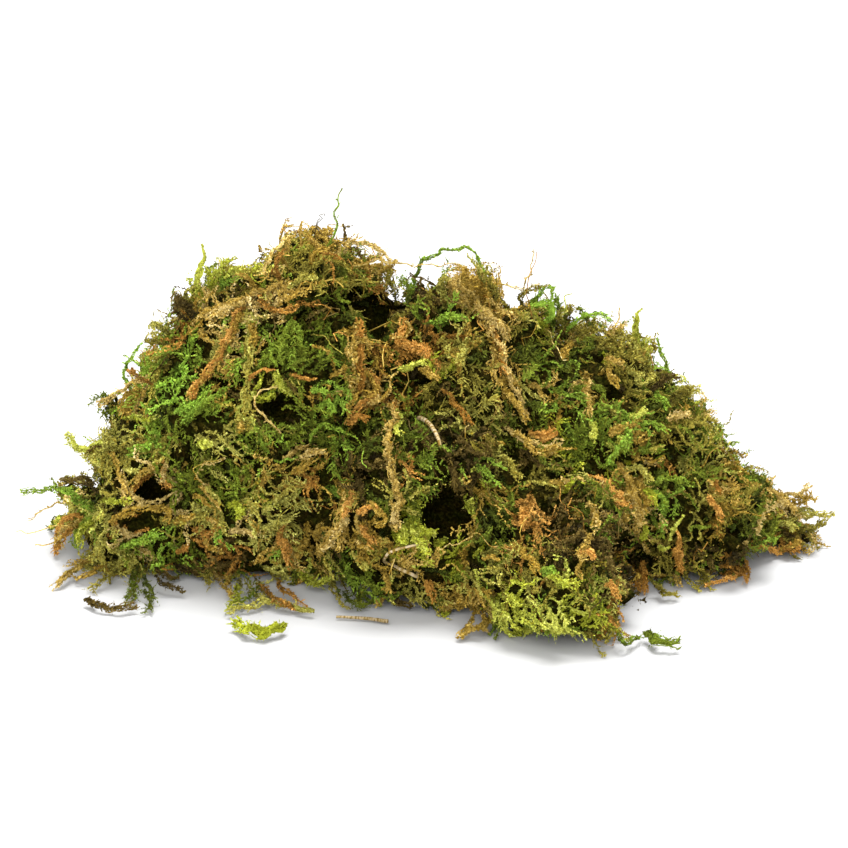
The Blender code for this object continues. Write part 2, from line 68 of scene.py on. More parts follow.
# Looks of the moss: material slot, then the range of its tone
LOOKS = {
    "gold": ("tan_moss", 0.15, 0.65),
    "pale": ("tan_moss", 0.6, 0.95),
    "rust": ("rust_moss", 0.1, 0.6),
    "orange": ("rust_moss", 0.55, 1.0),
    "olive": ("olive_moss", 0.1, 0.6),
    "khaki": ("olive_moss", 0.55, 1.0),
    "lime": ("lime_moss", 0.35, 1.0),
    "bright": ("green_moss", 0.72, 1.0),
    "green": ("green_moss", 0.38, 0.75),
    "deep": ("green_moss", 0.0, 0.4),
    "brown": ("dark_moss", 0.1, 0.9),
}

# How often a clump of moss with no place in the picture has each look
COMMON = {
    "gold": 0.13, "pale": 0.02, "rust": 0.09, "orange": 0.02, "olive": 0.23, "khaki": 0.13,
    "lime": 0.09, "bright": 0.06, "green": 0.13, "deep": 0.13, "brown": 0.05,
}

# Patches of one look that can be told apart in the picture: look, then middle and half size in steps
# Some brown and deep patches stand where the heap lies in shadow: there they are painted shade
PATCHES = (
    # left flank
    ("bright", 158, 386, 24, 14), ("green", 205, 402, 22, 16), ("gold", 186, 330, 18, 14),
    ("bright", 142, 450, 17, 7), ("bright", 148, 542, 26, 8), ("olive", 226, 274, 22, 12),
    ("olive", 190, 300, 16, 12), ("gold", 240, 340, 12, 34), ("deep", 262, 366, 22, 20),
    ("pale", 232, 312, 32, 9), ("green", 250, 345, 10, 26), ("khaki", 108, 432, 16, 26),
    ("gold", 132, 418, 14, 10), ("brown", 156, 488, 18, 10), ("deep", 182, 484, 20, 14),
    ("olive", 110, 470, 20, 16), ("pale", 142, 516, 34, 12), ("khaki", 93, 522, 16, 34),
    ("khaki", 122, 562, 20, 12), ("deep", 172, 570, 32, 12), ("khaki", 206, 440, 16, 14),
    ("khaki", 208, 500, 14, 18), ("brown", 212, 556, 22, 14), ("deep", 232, 470, 26, 18),
    ("green", 178, 340, 22, 22), ("olive", 150, 360, 14, 16), ("pale", 60, 500, 16, 10),
    ("brown", 190, 557, 24, 9), ("olive", 176, 520, 12, 10), ("brown", 229, 386, 18, 13),
    # peak
    ("olive", 300, 262, 34, 18), ("gold", 316, 244, 18, 10), ("olive", 318, 282, 24, 9),
    ("deep", 330, 300, 22, 10), ("gold", 374, 262, 22, 16), ("gold", 270, 296, 26, 10),
    ("green", 294, 342, 18, 26), ("deep", 336, 344, 14, 24), ("deep", 516, 350, 18, 14),
    ("deep", 330, 380, 26, 16), ("bright", 318, 392, 28, 8), ("gold", 358, 352, 9, 34),
    ("gold", 366, 392, 10, 18), ("deep", 386, 414, 16, 14), ("deep", 370, 306, 36, 18),
    ("brown", 402, 300, 18, 16),
    # middle
    ("rust", 414, 350, 18, 8), ("brown", 402, 326, 14, 12), ("green", 424, 318, 14, 18),
    ("bright", 454, 316, 16, 6), ("gold", 474, 302, 26, 26), ("khaki", 466, 350, 12, 22),
    ("gold", 503, 366, 7, 30), ("deep", 520, 404, 20, 22), ("deep", 540, 376, 22, 26),
    ("green", 532, 366, 14, 14), ("olive", 440, 372, 26, 12), ("deep", 300, 440, 34, 20),
    ("green", 262, 444, 24, 12), ("khaki", 264, 512, 30, 20), ("gold", 306, 472, 30, 18),
    ("brown", 286, 404, 18, 10), ("green", 340, 440, 18, 22), ("pale", 396, 440, 5, 24),
    ("green", 414, 466, 14, 30), ("brown", 356, 476, 20, 20), ("deep", 368, 446, 22, 20),
    ("gold", 352, 520, 16, 28), ("gold", 296, 548, 18, 30), ("lime", 318, 580, 26, 9),
    ("khaki", 262, 556, 22, 20), ("rust", 236, 574, 12, 14), ("green", 332, 590, 16, 8),
    ("brown", 454, 500, 14, 34), ("lime", 424, 538, 34, 22), ("gold", 394, 566, 20, 12),
    ("lime", 508, 602, 22, 20), ("gold", 442, 590, 26, 18), ("khaki", 410, 596, 24, 14),
    ("olive", 430, 404, 24, 16), ("khaki", 478, 412, 20, 22), ("brown", 450, 404, 10, 22),
    ("brown", 466, 448, 18, 20), ("deep", 500, 520, 18, 20),
    # right of the middle
    ("gold", 530, 438, 20, 7), ("green", 562, 446, 18, 14), ("green", 560, 402, 26, 20),
    ("gold", 590, 376, 7, 22), ("olive", 560, 320, 30, 16), ("olive", 616, 344, 30, 16),
    ("olive", 622, 370, 26, 18), ("bright", 614, 430, 18, 16), ("deep", 656, 404, 22, 16),
    ("green", 596, 430, 22, 20), ("gold", 606, 490, 26, 14), ("pale", 636, 500, 14, 30),
    ("bright", 662, 498, 8, 12), ("deep", 576, 500, 22, 12), ("brown", 634, 572, 16, 26),
    ("deep", 372, 486, 20, 12), ("olive", 546, 470, 22, 16), ("orange", 522, 514, 14, 20),
    ("brown", 562, 532, 24, 24), ("brown", 598, 556, 18, 30), ("khaki", 500, 560, 26, 22),
    ("gold", 468, 576, 22, 18), ("olive", 562, 572, 22, 12), ("lime", 540, 598, 44, 14),
    ("lime", 556, 628, 56, 10), ("rust", 612, 600, 14, 20),
    # right flank
    ("olive", 676, 420, 24, 16), ("pale", 684, 418, 14, 8), ("khaki", 664, 360, 14, 16),
    ("green", 700, 440, 22, 14), ("olive", 704, 500, 30, 16), ("deep", 678, 480, 26, 10),
    ("olive", 676, 536, 18, 26), ("brown", 704, 558, 24, 14), ("deep", 716, 538, 22, 10),
    ("gold", 716, 500, 12, 22), ("green", 745, 466, 12, 14), ("deep", 752, 498, 18, 14),
    ("gold", 780, 516, 26, 18), ("pale", 802, 516, 24, 14), ("deep", 748, 538, 22, 16),
    ("rust", 730, 566, 24, 12),
)

# Where the moss is sunk, for the picture's outline and for its dark hollows: middle and half size in steps
LOW_PLACES = (
    # along the outline
    (248, 254, 34, 22), (268, 238, 16, 18), (511, 298, 20, 18), (100, 426, 20, 22), (84, 476, 28, 17),
    (78, 541, 26, 20), (633, 608, 22, 34), (552, 646, 62, 17), (764, 556, 27, 14), (697, 580, 20, 12),
    (430, 280, 14, 14), (391, 286, 10, 10), (120, 392, 10, 12), (61, 509, 10, 10), (478, 618, 18, 13),
    (403, 607, 20, 12), (343, 590, 16, 12), (233, 582, 18, 10), (780, 480, 14, 10), (732, 438, 14, 14),
    (657, 362, 10, 10), (806, 518, 10, 8),
    # hollows
    (438, 516, 26, 24), (461, 522, 11, 20), (452, 468, 9, 36), (618, 548, 13, 36), (229, 386, 20, 15),
    (280, 408, 24, 9), (186, 458, 8, 22), (150, 492, 26, 8), (136, 522, 11, 6), (238, 352, 7, 8),
    (414, 382, 26, 7), (352, 302, 34, 14), (376, 320, 14, 24), (397, 302, 18, 10), (350, 556, 12, 9),
    (514, 452, 7, 22), (560, 530, 20, 14), (566, 478, 12, 8), (616, 394, 12, 9), (736, 548, 16, 8),
    (560, 336, 10, 7), (640, 560, 20, 12), (366, 474, 20, 6), (256, 460, 16, 7), (504, 534, 12, 8),
    (548, 512, 12, 12), (600, 356, 16, 8),
)

# Strands that trail from the heap's foot over the floor. A strand is a look, a kind of shoot, and its
# places from the root, across and down in turn.
STRAYS = (
    ("deep", "braid", 140, 560, 133, 578, 137, 594, 127, 607),
    ("deep", "feather", 138, 568, 146, 588, 150, 600, 147, 613),
    ("olive", "feather", 134, 558, 140, 575, 132, 590, 126, 602),
    ("brown", "braid", 152, 570, 163, 584, 178, 590, 194, 597),
    ("gold", "rope", 104, 564, 92, 573, 80, 578, 66, 576),
    ("olive", "feather", 120, 566, 110, 576, 98, 584, 92, 590),
    ("khaki", "feather", 236, 566, 240, 584, 235, 598, 226, 611),
    ("lime", "plume", 232, 580, 240, 592, 232, 606, 224, 612),
    ("gold", "braid", 230, 564, 227, 582, 231, 596, 240, 606),
    ("olive", "plume", 256, 570, 258, 586, 266, 597, 280, 604),
    ("khaki", "plume", 246, 576, 250, 590, 262, 600, 276, 604),
    ("rust", "braid", 272, 572, 280, 588, 296, 596, 308, 608),
    ("lime", "frond", 296, 570, 312, 582, 330, 583, 346, 574),
    ("lime", "plume", 300, 572, 318, 584, 338, 578),
    ("deep", "feather", 336, 584, 346, 598, 356, 606, 366, 604),
    ("brown", "braid", 388, 592, 400, 603, 412, 608),
    ("gold", "rope", 474, 608, 470, 622, 464, 632, 458, 640),
    ("gold", "wool", 486, 612, 480, 626, 492, 632),
    ("gold", "wool", 604, 598, 612, 614, 618, 630, 630, 642),
    ("rust", "braid", 632, 566, 640, 580, 636, 594),
    ("olive", "braid", 652, 580, 664, 592, 680, 598),
    ("olive", "feather", 700, 570, 706, 580, 700, 586),
    ("rust", "braid", 742, 562, 747, 574, 744, 584),
    ("brown", "wool", 150, 556, 156, 568, 168, 576, 182, 578),
    ("deep", "wool", 180, 556, 190, 566, 204, 574, 216, 572),
    ("brown", "wool", 168, 556, 182, 568, 196, 574, 208, 576),
    ("olive", "rope", 100, 560, 86, 568, 74, 569, 62, 575),
    ("gold", "wool", 112, 552, 94, 558, 78, 563, 64, 565),
    ("gold", "wool", 88, 562, 74, 570, 60, 580, 50, 591),
    ("green", "plume", 136, 566, 132, 582, 130, 596, 126, 607),
    ("deep", "rope", 142, 570, 148, 586, 152, 600, 150, 613),
    ("olive", "feather", 210, 562, 207, 576, 209, 590),
    ("green", "plume", 262, 578, 254, 594, 242, 602, 228, 612),
    ("rust", "wool", 258, 584, 276, 600, 292, 606, 312, 611),
    ("olive", "rope", 332, 572, 332, 588, 342, 602, 349, 612),
    ("deep", "plume", 352, 578, 356, 594, 360, 610),
    ("gold", "wool", 386, 562, 388, 582, 382, 598, 374, 611),
    ("gold", "wool", 492, 622, 476, 628, 464, 631, 457, 640),
    ("green", "rope", 614, 632, 626, 642, 638, 638, 650, 630),
    ("rust", "wool", 642, 562, 642, 578, 644, 596),
    ("gold", "wool", 678, 552, 678, 572, 679, 590),
)

# Strands along the outline, from the root in the heap
WISPS = (
    # left flank
    ("lime", "plume", 216, 296, 214, 282, 218, 270, 226, 259),
    ("lime", "wool", 222, 292, 222, 278, 232, 270, 244, 267),
    ("lime", "braid", 214, 296, 211, 284, 208, 274, 208, 266),
    ("lime", "rope", 204, 310, 198, 290, 198, 274, 202, 256),
    ("lime", "rope", 204, 306, 196, 290, 190, 280, 187, 277),
    ("khaki", "rope", 198, 314, 184, 300, 188, 290, 197, 283),
    ("brown", "wool", 200, 322, 188, 308, 180, 302, 176, 310),
    ("brown", "braid", 196, 328, 180, 314, 174, 304, 178, 296),
    ("brown", "wool", 198, 318, 184, 304, 176, 295, 172, 306),
    ("khaki", "wool", 180, 344, 164, 328, 154, 324, 147, 331),
    ("olive", "rope", 176, 352, 156, 340, 148, 342, 146, 334),
    ("rust", "rope", 156, 388, 136, 374, 130, 368, 128, 378),
    ("gold", "rope", 152, 392, 130, 392, 120, 404, 115, 420),
    ("khaki", "wool", 136, 450, 110, 448, 103, 436, 104, 424),
    ("bright", "wool", 100, 512, 78, 500, 68, 492, 63, 484),
    ("brown", "rope", 106, 496, 86, 484, 74, 480, 62, 480),
    ("gold", "wool", 94, 518, 72, 524, 62, 534, 56, 550),
    ("rust", "braid", 94, 524, 70, 530, 60, 542, 55, 552),
    ("lime", "wool", 100, 518, 84, 526, 80, 538, 76, 548),
    ("gold", "thread", 92, 530, 56, 538, 44, 546, 33, 547),
    ("pale", "thread", 94, 522, 54, 528, 30, 531, 12, 534),
    ("bright", "plume", 224, 294, 222, 284, 230, 280, 236, 283),
    ("gold", "rope", 262, 296, 252, 282, 244, 276, 236, 274),
    ("rust", "rope", 282, 284, 274, 270, 280, 256, 288, 244),
    # crest
    ("gold", "rope", 290, 272, 282, 256, 288, 242, 298, 232),
    ("khaki", "thread", 296, 268, 280, 254, 272, 246, 271, 240),
    ("lime", "thread", 262, 290, 252, 272, 258, 264, 264, 268),
    ("green", "plume", 410, 312, 408, 292, 404, 282, 396, 277),
    ("olive", "wool", 398, 308, 392, 284, 388, 272, 380, 264),
    ("brown", "thread", 390, 312, 386, 290, 394, 278, 404, 270),
    ("brown", "thread", 436, 308, 424, 286, 412, 276, 404, 268),
    ("gold", "rope", 376, 292, 384, 268, 396, 262, 404, 264),
    ("olive", "rope", 436, 316, 430, 300, 428, 290, 432, 282),
    ("khaki", "wool", 448, 310, 440, 290, 444, 278, 450, 276),
    ("pale", "frond", 472, 314, 458, 298, 450, 286, 452, 272),
    ("gold", "frond", 488, 306, 476, 286, 464, 274, 450, 264),
    ("pale", "frond", 480, 316, 464, 302, 456, 288, 458, 274),
    ("pale", "wool", 484, 312, 470, 296, 460, 282, 452, 270),
    ("olive", "wool", 496, 310, 494, 290, 488, 276, 484, 264),
    ("khaki", "rope", 488, 300, 482, 276, 474, 262, 468, 250),
    ("khaki", "thread", 494, 304, 494, 278, 499, 268),
    ("rust", "thread", 532, 322, 524, 296, 530, 282, 535, 262, 533, 250),
    ("olive", "braid", 528, 320, 520, 296, 534, 288, 552, 286),
    ("green", "plume", 552, 326, 546, 306, 536, 302, 530, 304),
    ("green", "plume", 548, 326, 552, 306, 554, 298),
    ("green", "plume", 566, 330, 560, 314, 556, 302, 558, 294),
    ("bright", "wool", 558, 330, 548, 314, 540, 306, 534, 306),
    ("lime", "thread", 562, 326, 564, 302, 571, 293),
    ("olive", "wool", 576, 334, 566, 316, 570, 308, 580, 312),
    ("khaki", "wool", 564, 332, 560, 314, 566, 305),
    # right slope
    ("deep", "braid", 600, 336, 586, 318, 580, 310, 576, 307),
    ("deep", "thread", 584, 330, 592, 312, 604, 314, 612, 324),
    ("lime", "rope", 646, 354, 638, 332, 634, 320, 640, 310),
    ("brown", "wool", 648, 396, 660, 382, 670, 376, 680, 378),
    ("olive", "wool", 666, 410, 680, 394, 690, 388, 698, 392),
    # right tip
    ("gold", "rope", 776, 512, 796, 498, 808, 496, 810, 486),
    ("gold", "braid", 780, 512, 802, 500, 812, 498, 818, 500),
    ("khaki", "rope", 784, 520, 804, 510, 818, 514, 834, 511),
    ("olive", "wool", 786, 530, 812, 530, 822, 522, 832, 514),
    ("rust", "braid", 774, 532, 786, 548, 796, 552, 802, 545),
    ("brown", "thread", 734, 544, 752, 552, 762, 560),
)

# Strands inside the outline, laid over the tufts
LAID = (
    # left flank
    ("pale", "frond", 258, 296, 244, 302, 230, 306, 216, 312, 200, 320),
    ("pale", "frond", 252, 300, 236, 306, 220, 314, 204, 324),
    ("gold", "frond", 242, 306, 238, 322, 230, 338, 220, 352, 214, 366),
    ("gold", "wool", 234, 334, 222, 350, 214, 364, 204, 378, 192, 392, 188, 400),
    ("orange", "wool", 206, 374, 196, 386, 190, 398),
    ("khaki", "wool", 246, 314, 250, 332, 250, 350, 248, 372),
    ("gold", "wool", 250, 318, 254, 336, 252, 352),
    ("olive", "rope", 160, 322, 166, 332, 178, 334, 192, 322),
    ("bright", "wool", 180, 424, 194, 410, 206, 394, 218, 378),
    ("bright", "wool", 136, 392, 148, 378, 162, 372, 178, 372),
    ("bright", "braid", 170, 414, 186, 408, 198, 402),
    ("lime", "wool", 118, 420, 132, 416, 148, 422, 166, 412, 184, 402),
    ("green", "feather", 284, 368, 281, 344, 286, 320),
    ("green", "feather", 290, 318, 296, 336, 292, 356, 286, 370),
    ("lime", "frond", 274, 368, 279, 380, 286, 390, 292, 396),
    ("rust", "rope", 248, 380, 256, 372, 268, 369, 276, 372),
    ("rust", "rope", 286, 374, 302, 378, 318, 379),
    ("green", "rope", 262, 328, 270, 344, 274, 360, 276, 372),
    ("rust", "wool", 258, 296, 268, 308, 282, 312, 296, 306, 304, 302),
    ("khaki", "wool", 286, 290, 298, 280, 310, 278, 320, 274),
    ("brown", "thread", 226, 294, 244, 290, 264, 286, 284, 288),
    ("gold", "wool", 240, 404, 244, 414, 240, 428, 232, 438),
    ("bright", "wool", 124, 456, 134, 450, 146, 446, 156, 446),
    ("gold", "rope", 104, 448, 114, 456, 118, 468, 120, 478, 124, 490, 132, 494),
    ("olive", "rope", 110, 444, 104, 456, 100, 470, 106, 482),
    ("rust", "wool", 160, 470, 146, 476, 134, 486, 132, 498),
    ("gold", "wool", 164, 462, 150, 468, 138, 476, 130, 488),
    ("gold", "thread", 222, 458, 206, 462, 194, 470, 196, 478, 208, 484),
    ("lime", "frond", 196, 438, 204, 446, 212, 440),
    ("gold", "rope", 190, 492, 200, 498, 210, 506, 216, 516),
    ("gold", "rope", 194, 486, 206, 490, 214, 502, 220, 512),
    ("khaki", "rope", 198, 486, 208, 488, 216, 498, 224, 508),
    ("gold", "wool", 108, 526, 118, 516, 134, 510, 150, 506),
    ("gold", "wool", 142, 514, 152, 508, 164, 508, 172, 518, 164, 524),
    ("gold", "wool", 168, 526, 180, 522, 190, 516, 196, 506),
    ("gold", "rope", 204, 524, 210, 516, 216, 524, 208, 530),
    ("bright", "wool", 120, 550, 132, 544, 144, 540, 158, 534),
    ("bright", "wool", 124, 546, 138, 540, 152, 534, 166, 530),
    ("lime", "wool", 96, 502, 106, 500, 120, 502, 130, 500),
    ("rust", "braid", 172, 556, 184, 550, 190, 542),
    ("gold", "wool", 200, 536, 208, 546, 218, 550, 222, 554),
    ("lime", "frond", 228, 506, 236, 504, 242, 510, 238, 520),
    ("orange", "wool", 276, 530, 282, 542, 286, 556, 292, 570),
    ("orange", "wool", 284, 524, 280, 538, 288, 552, 290, 566),
    ("rust", "rope", 238, 560, 232, 566, 228, 576, 228, 592),
    ("khaki", "rope", 276, 504, 284, 494, 292, 488, 298, 494),
    ("pale", "wool", 300, 458, 310, 454, 320, 450, 328, 452),
    ("gold", "wool", 286, 474, 298, 470, 308, 464, 318, 456),
    # middle
    ("gold", "frond", 358, 318, 354, 334, 353, 352, 354, 370, 356, 390),
    ("gold", "wool", 354, 342, 364, 340, 372, 346),
    ("gold", "wool", 356, 372, 368, 374, 376, 384, 374, 394, 362, 392),
    ("gold", "rope", 346, 424, 348, 408, 356, 396, 364, 390),
    ("gold", "rope", 366, 396, 376, 402, 388, 394, 391, 380, 404, 368),
    ("rust", "wool", 346, 422, 358, 416, 370, 422),
    ("gold", "rope", 405, 318, 411, 328, 406, 336, 394, 338, 390, 334),
    ("orange", "frond", 396, 344, 408, 346, 420, 350, 430, 350),
    ("orange", "wool", 414, 352, 424, 346, 430, 354, 422, 360),
    ("lime", "wool", 398, 370, 412, 366, 426, 362),
    ("gold", "frond", 420, 368, 430, 374, 440, 378),
    ("bright", "frond", 430, 324, 442, 318, 454, 316, 466, 318),
    ("pale", "frond", 454, 280, 452, 292, 458, 302, 468, 308, 478, 314),
    ("pale", "frond", 466, 276, 474, 286, 480, 298, 484, 310),
    ("pale", "frond", 448, 276, 448, 290, 452, 302, 462, 310),
    ("pale", "wool", 462, 272, 466, 286, 472, 300, 480, 312),
    ("pale", "frond", 474, 312, 486, 316, 498, 324, 510, 334),
    ("rust", "wool", 490, 322, 498, 340, 500, 356, 504, 372, 504, 386),
    ("gold", "wool", 504, 386, 512, 398, 520, 410, 530, 424),
    ("khaki", "frond", 470, 330, 466, 344, 462, 356, 456, 372),
    ("khaki", "plume", 478, 412, 488, 402, 496, 398),
    ("lime", "wool", 394, 408, 400, 420, 396, 432, 404, 438),
    ("green", "plume", 520, 386, 530, 372, 542, 362),
    ("rust", "wool", 444, 388, 452, 400, 462, 412, 472, 426),
    ("bright", "braid", 308, 392, 320, 390, 332, 394),
    ("bright", "wool", 318, 412, 328, 402, 334, 420),
    ("green", "rope", 332, 290, 342, 298, 350, 304),
    ("rust", "rope", 366, 262, 368, 280, 368, 298),
    ("gold", "frond", 308, 264, 318, 252, 330, 248),
    ("bright", "rope", 306, 448, 312, 434, 322, 424, 336, 428, 350, 434, 360, 444),
    ("bright", "thread", 360, 444, 364, 458, 365, 472),
    ("orange", "frond", 352, 486, 350, 500, 346, 512, 342, 524),
    ("pale", "wool", 344, 522, 336, 534, 328, 546, 318, 552),
    ("pale", "frond", 346, 512, 342, 524, 332, 540),
    ("gold", "wool", 318, 540, 322, 530, 334, 528),
    ("orange", "wool", 356, 520, 364, 530, 370, 540, 376, 550),
    ("gold", "wool", 352, 536, 360, 546, 372, 548),
    ("gold", "wool", 372, 502, 380, 510, 384, 522, 376, 526),
    ("orange", "wool", 358, 512, 368, 508, 378, 508),
    ("pale", "frond", 392, 500, 395, 512, 396, 524, 393, 532),
    ("khaki", "wool", 352, 552, 360, 562, 368, 572),
    ("lime", "frond", 402, 526, 404, 538, 406, 548),
    ("lime", "frond", 410, 526, 416, 538, 424, 548, 430, 556),
    ("lime", "wool", 418, 536, 430, 532, 440, 534),
    ("gold", "wool", 386, 568, 388, 584, 384, 598),
    ("lime", "rope", 466, 494, 467, 506, 474, 516, 486, 520),
    ("lime", "frond", 510, 590, 512, 600, 522, 604),
    ("lime", "rope", 510, 592, 512, 580, 520, 584, 532, 584, 540, 578),
    ("bright", "wool", 540, 572, 550, 570, 560, 576),
    ("orange", "frond", 522, 504, 524, 514, 520, 524),
    ("gold", "frond", 510, 542, 518, 548, 528, 558, 536, 566, 538, 574),
    ("gold", "rope", 480, 556, 492, 558, 504, 558),
    ("gold", "frond", 508, 434, 518, 434, 528, 442, 536, 452, 546, 456),
    ("orange", "frond", 530, 432, 540, 436, 552, 430),
    ("gold", "frond", 546, 456, 552, 450, 558, 446),
    ("olive", "frond", 500, 456, 508, 460, 516, 472, 520, 484),
    ("gold", "wool", 480, 430, 490, 440, 500, 446, 506, 440),
    ("brown", "frond", 452, 466, 456, 480, 458, 496),
    ("gold", "wool", 446, 612, 456, 608, 466, 602, 478, 598),
    ("rust", "wool", 428, 576, 430, 590, 432, 604),
    ("khaki", "rope", 532, 480, 540, 484, 552, 484, 560, 488),
    # right of the middle
    ("gold", "frond", 572, 342, 566, 352, 562, 360),
    ("gold", "frond", 606, 358, 616, 362, 626, 370),
    ("gold", "wool", 608, 362, 612, 376, 618, 388),
    ("khaki", "frond", 624, 368, 634, 374, 646, 378),
    ("khaki", "wool", 630, 376, 642, 384, 652, 380, 650, 370),
    ("gold", "frond", 589, 374, 588, 390, 588, 404, 590, 418),
    ("lime", "wool", 590, 416, 594, 430, 592, 444),
    ("bright", "frond", 632, 426, 626, 440, 620, 452),
    ("bright", "wool", 630, 428, 622, 446, 612, 458, 606, 466),
    ("lime", "wool", 628, 420, 638, 414, 648, 408),
    ("gold", "wool", 608, 436, 618, 430, 628, 424),
    ("orange", "wool", 540, 446, 548, 436, 556, 430),
    ("gold", "rope", 540, 454, 552, 448, 566, 447, 580, 450),
    ("orange", "frond", 592, 480, 602, 490, 612, 498, 622, 504, 632, 510),
    ("orange", "wool", 596, 478, 606, 490, 618, 498, 630, 506),
    ("gold", "frond", 626, 472, 632, 488, 638, 504, 636, 522),
    ("pale", "frond", 624, 490, 632, 502, 640, 512, 638, 526),
    ("gold", "frond", 634, 474, 642, 488, 648, 500, 646, 516),
    ("khaki", "frond", 622, 470, 634, 466, 646, 474, 652, 482),
    ("lime", "frond", 646, 486, 650, 496, 658, 506),
    ("bright", "wool", 652, 490, 662, 496, 664, 506, 656, 508),
    ("gold", "wool", 548, 482, 560, 484, 572, 484),
    ("gold", "frond", 588, 500, 594, 512, 598, 522, 594, 534),
    ("gold", "frond", 590, 534, 584, 546, 580, 556, 590, 558),
    ("orange", "wool", 578, 556, 588, 552, 598, 558),
    ("gold", "rope", 580, 560, 578, 572, 584, 582),
    ("orange", "wool", 608, 582, 614, 590, 620, 600),
    ("lime", "frond", 546, 574, 556, 578, 568, 584, 580, 586),
    ("lime", "wool", 640, 520, 646, 532, 642, 544),
    ("lime", "rope", 658, 546, 664, 548, 670, 548),
    ("lime", "rope", 668, 540, 674, 528, 682, 518, 687, 510),
    # right flank
    ("pale", "frond", 668, 420, 680, 414, 694, 416),
    ("olive", "frond", 692, 402, 706, 410, 716, 424, 724, 440),
    ("green", "frond", 636, 450, 652, 450, 668, 448),
    ("bright", "wool", 654, 388, 660, 398, 668, 408),
    ("rust", "thread", 670, 462, 671, 472, 662, 478),
    ("lime", "frond", 646, 346, 654, 352, 660, 356),
    ("green", "wool", 652, 484, 664, 478, 680, 480, 696, 484),
    ("rust", "frond", 710, 476, 716, 486, 720, 496),
    ("orange", "wool", 708, 494, 714, 506, 722, 516, 730, 520),
    ("green", "rope", 690, 530, 702, 526, 712, 528),
    ("rust", "frond", 676, 534, 678, 548, 678, 562, 680, 574, 680, 588),
    ("rust", "wool", 640, 562, 646, 574, 644, 590),
    ("pale", "rope", 768, 492, 762, 504, 758, 516, 756, 532),
    ("pale", "frond", 768, 490, 780, 496, 792, 506, 800, 518),
    ("pale", "frond", 782, 498, 794, 508, 804, 520, 814, 530),
    ("khaki", "frond", 776, 520, 786, 524, 796, 530),
    ("gold", "wool", 774, 552, 784, 554, 794, 546, 800, 540),
    ("green", "frond", 736, 462, 744, 474, 752, 486),
    ("green", "frond", 744, 466, 754, 478, 760, 490),
    ("brown", "thread", 716, 540, 726, 546, 736, 560),
)

# Single pieces that aren't fronds, by the kind of their solids
STEMS = (
    "upright_sprig", "peak_curl", "peak_branch", "hooked_sprig", "bare_stem", "crest_stem", "crest_runner",
    "crest_thread", "slope_stub", "left_tan_tail", "bare_thread", "bare_loop", "foot_stub",
)
BLADES = (
    "pale_horn", "crest_leaf", "slope_horn", "slope_leaf", "left_leaf", "left_green_hook",
    "crest_gold_frond", "flat_gold_frond", "lime_scrap", "right_scrap",
)
HORNS = ("pale_horn", "slope_horn")
TWIGS = ("grey_twig", "forked_twig", "twig_scrap")
SCRAPS = ("brown_scrap", "lime_scrap", "foot_strand", "twig_scrap", "right_scrap")

# What single pieces have of their own: tone, shade at root and tip, and how much fuller they are
TOLD_TONES = {
    "arched_sprig": 0.95, "upright_sprig": 0.7, "lime_scrap": 0.25, "right_scrap": 0.45, "pale_horn": 0.65,
    "forked_twig": 1.0, "grey_twig": 0.8, "pale_trail": 0.6, "crest_gold_frond": 0.65,
}
TOLD_SHADES = {"arched_sprig": (0.4, 0.85), "pale_horn": (0.5, 0.9)}
BULK = {
    "brown_scrap": 1.8, "lime_scrap": 1.8, "foot_strand": 1.6, "right_scrap": 1.5,
    "pale_horn": 1.9, "slope_horn": 1.5, "crest_gold_frond": 1.5,
}
SINGLE_TONE = (0.45, 0.95)
SINGLE_SHADE = (0.5, 1.05)

# Kinds of shoot. Each has its stations and its length, and how it curls, waves and lifts. Its body is
# strands side by side, with their count and spread, set all round with flakes that point every way, or a
# bare thin tube. Past them stand rows of leaves that point to the tip, and a feathery one has side shoots
# with leaves of their own. A leaf has a width, a length, and how far its foot and its tip stand off. A
# flake has a size and how far it stands off. Lengths are in millimetres.
FINE_LEAF = (0.6, 0.85, 0.05, 0.36)
FLAKE = (1.0, 0.34)
PLAIN = dict(
    tube=0, strands=(1, 0), flakes=0, flake=FLAKE, leaves=0, leaf=None, sides=0, side=0, side_leaves=0,
    curl=0.07, wave=(0.1, 0.5), turns=9, lift=1.8,
)
KINDS = {
    "feather": dict(
        PLAIN, stations=10, length=(11, 21), leaves=14, leaf=(0.75, 1.0, 0.2, 0.6), sides=12, side=3.0,
        side_leaves=6,
    ),
    "plume": dict(
        PLAIN, stations=9, length=(8, 16), leaves=12, leaf=(0.75, 1.0, 0.2, 0.6), sides=14, side=2.5,
        side_leaves=5, lift=1.5,
    ),
    "rope": dict(
        PLAIN, stations=14, length=(11, 24), flakes=86, flake=(0.9, 0.3), leaves=8,
        leaf=(0.6, 1.0, 0.3, 0.75), curl=0.13, wave=(0.3, 1.0), turns=14, lift=2.8,
    ),
    "braid": dict(
        PLAIN, stations=12, length=(10, 20), flakes=56, leaves=8, leaf=(0.6, 1.0, 0.3, 0.8), sides=9,
        side=1.6, side_leaves=4, wave=(0.2, 0.8), turns=12, lift=2.2,
    ),
    "wool": dict(
        PLAIN, stations=13, length=(10, 22), strands=(2, 0.8), flakes=62, leaves=9,
        leaf=(0.6, 1.0, 0.6, 1.2), curl=0.13, wave=(0.3, 0.9), turns=13, lift=2.6,
    ),
    "frond": dict(
        PLAIN, stations=11, length=(9, 19), strands=(3, 1.0), flakes=48, leaves=10,
        leaf=(0.6, 1.0, 0.8, 1.4), sides=5, side=2.0, side_leaves=4, curl=0.12, wave=(0.2, 0.8), turns=10,
        lift=2.4,
    ),
    "thread": dict(PLAIN, stations=14, length=(12, 32), tube=0.24, wave=(0.2, 0.7), turns=11),
    "mat": dict(PLAIN, stations=6, length=(7, 13), flakes=32, flake=(1.7, 0.7), curl=0.12, lift=0),
}

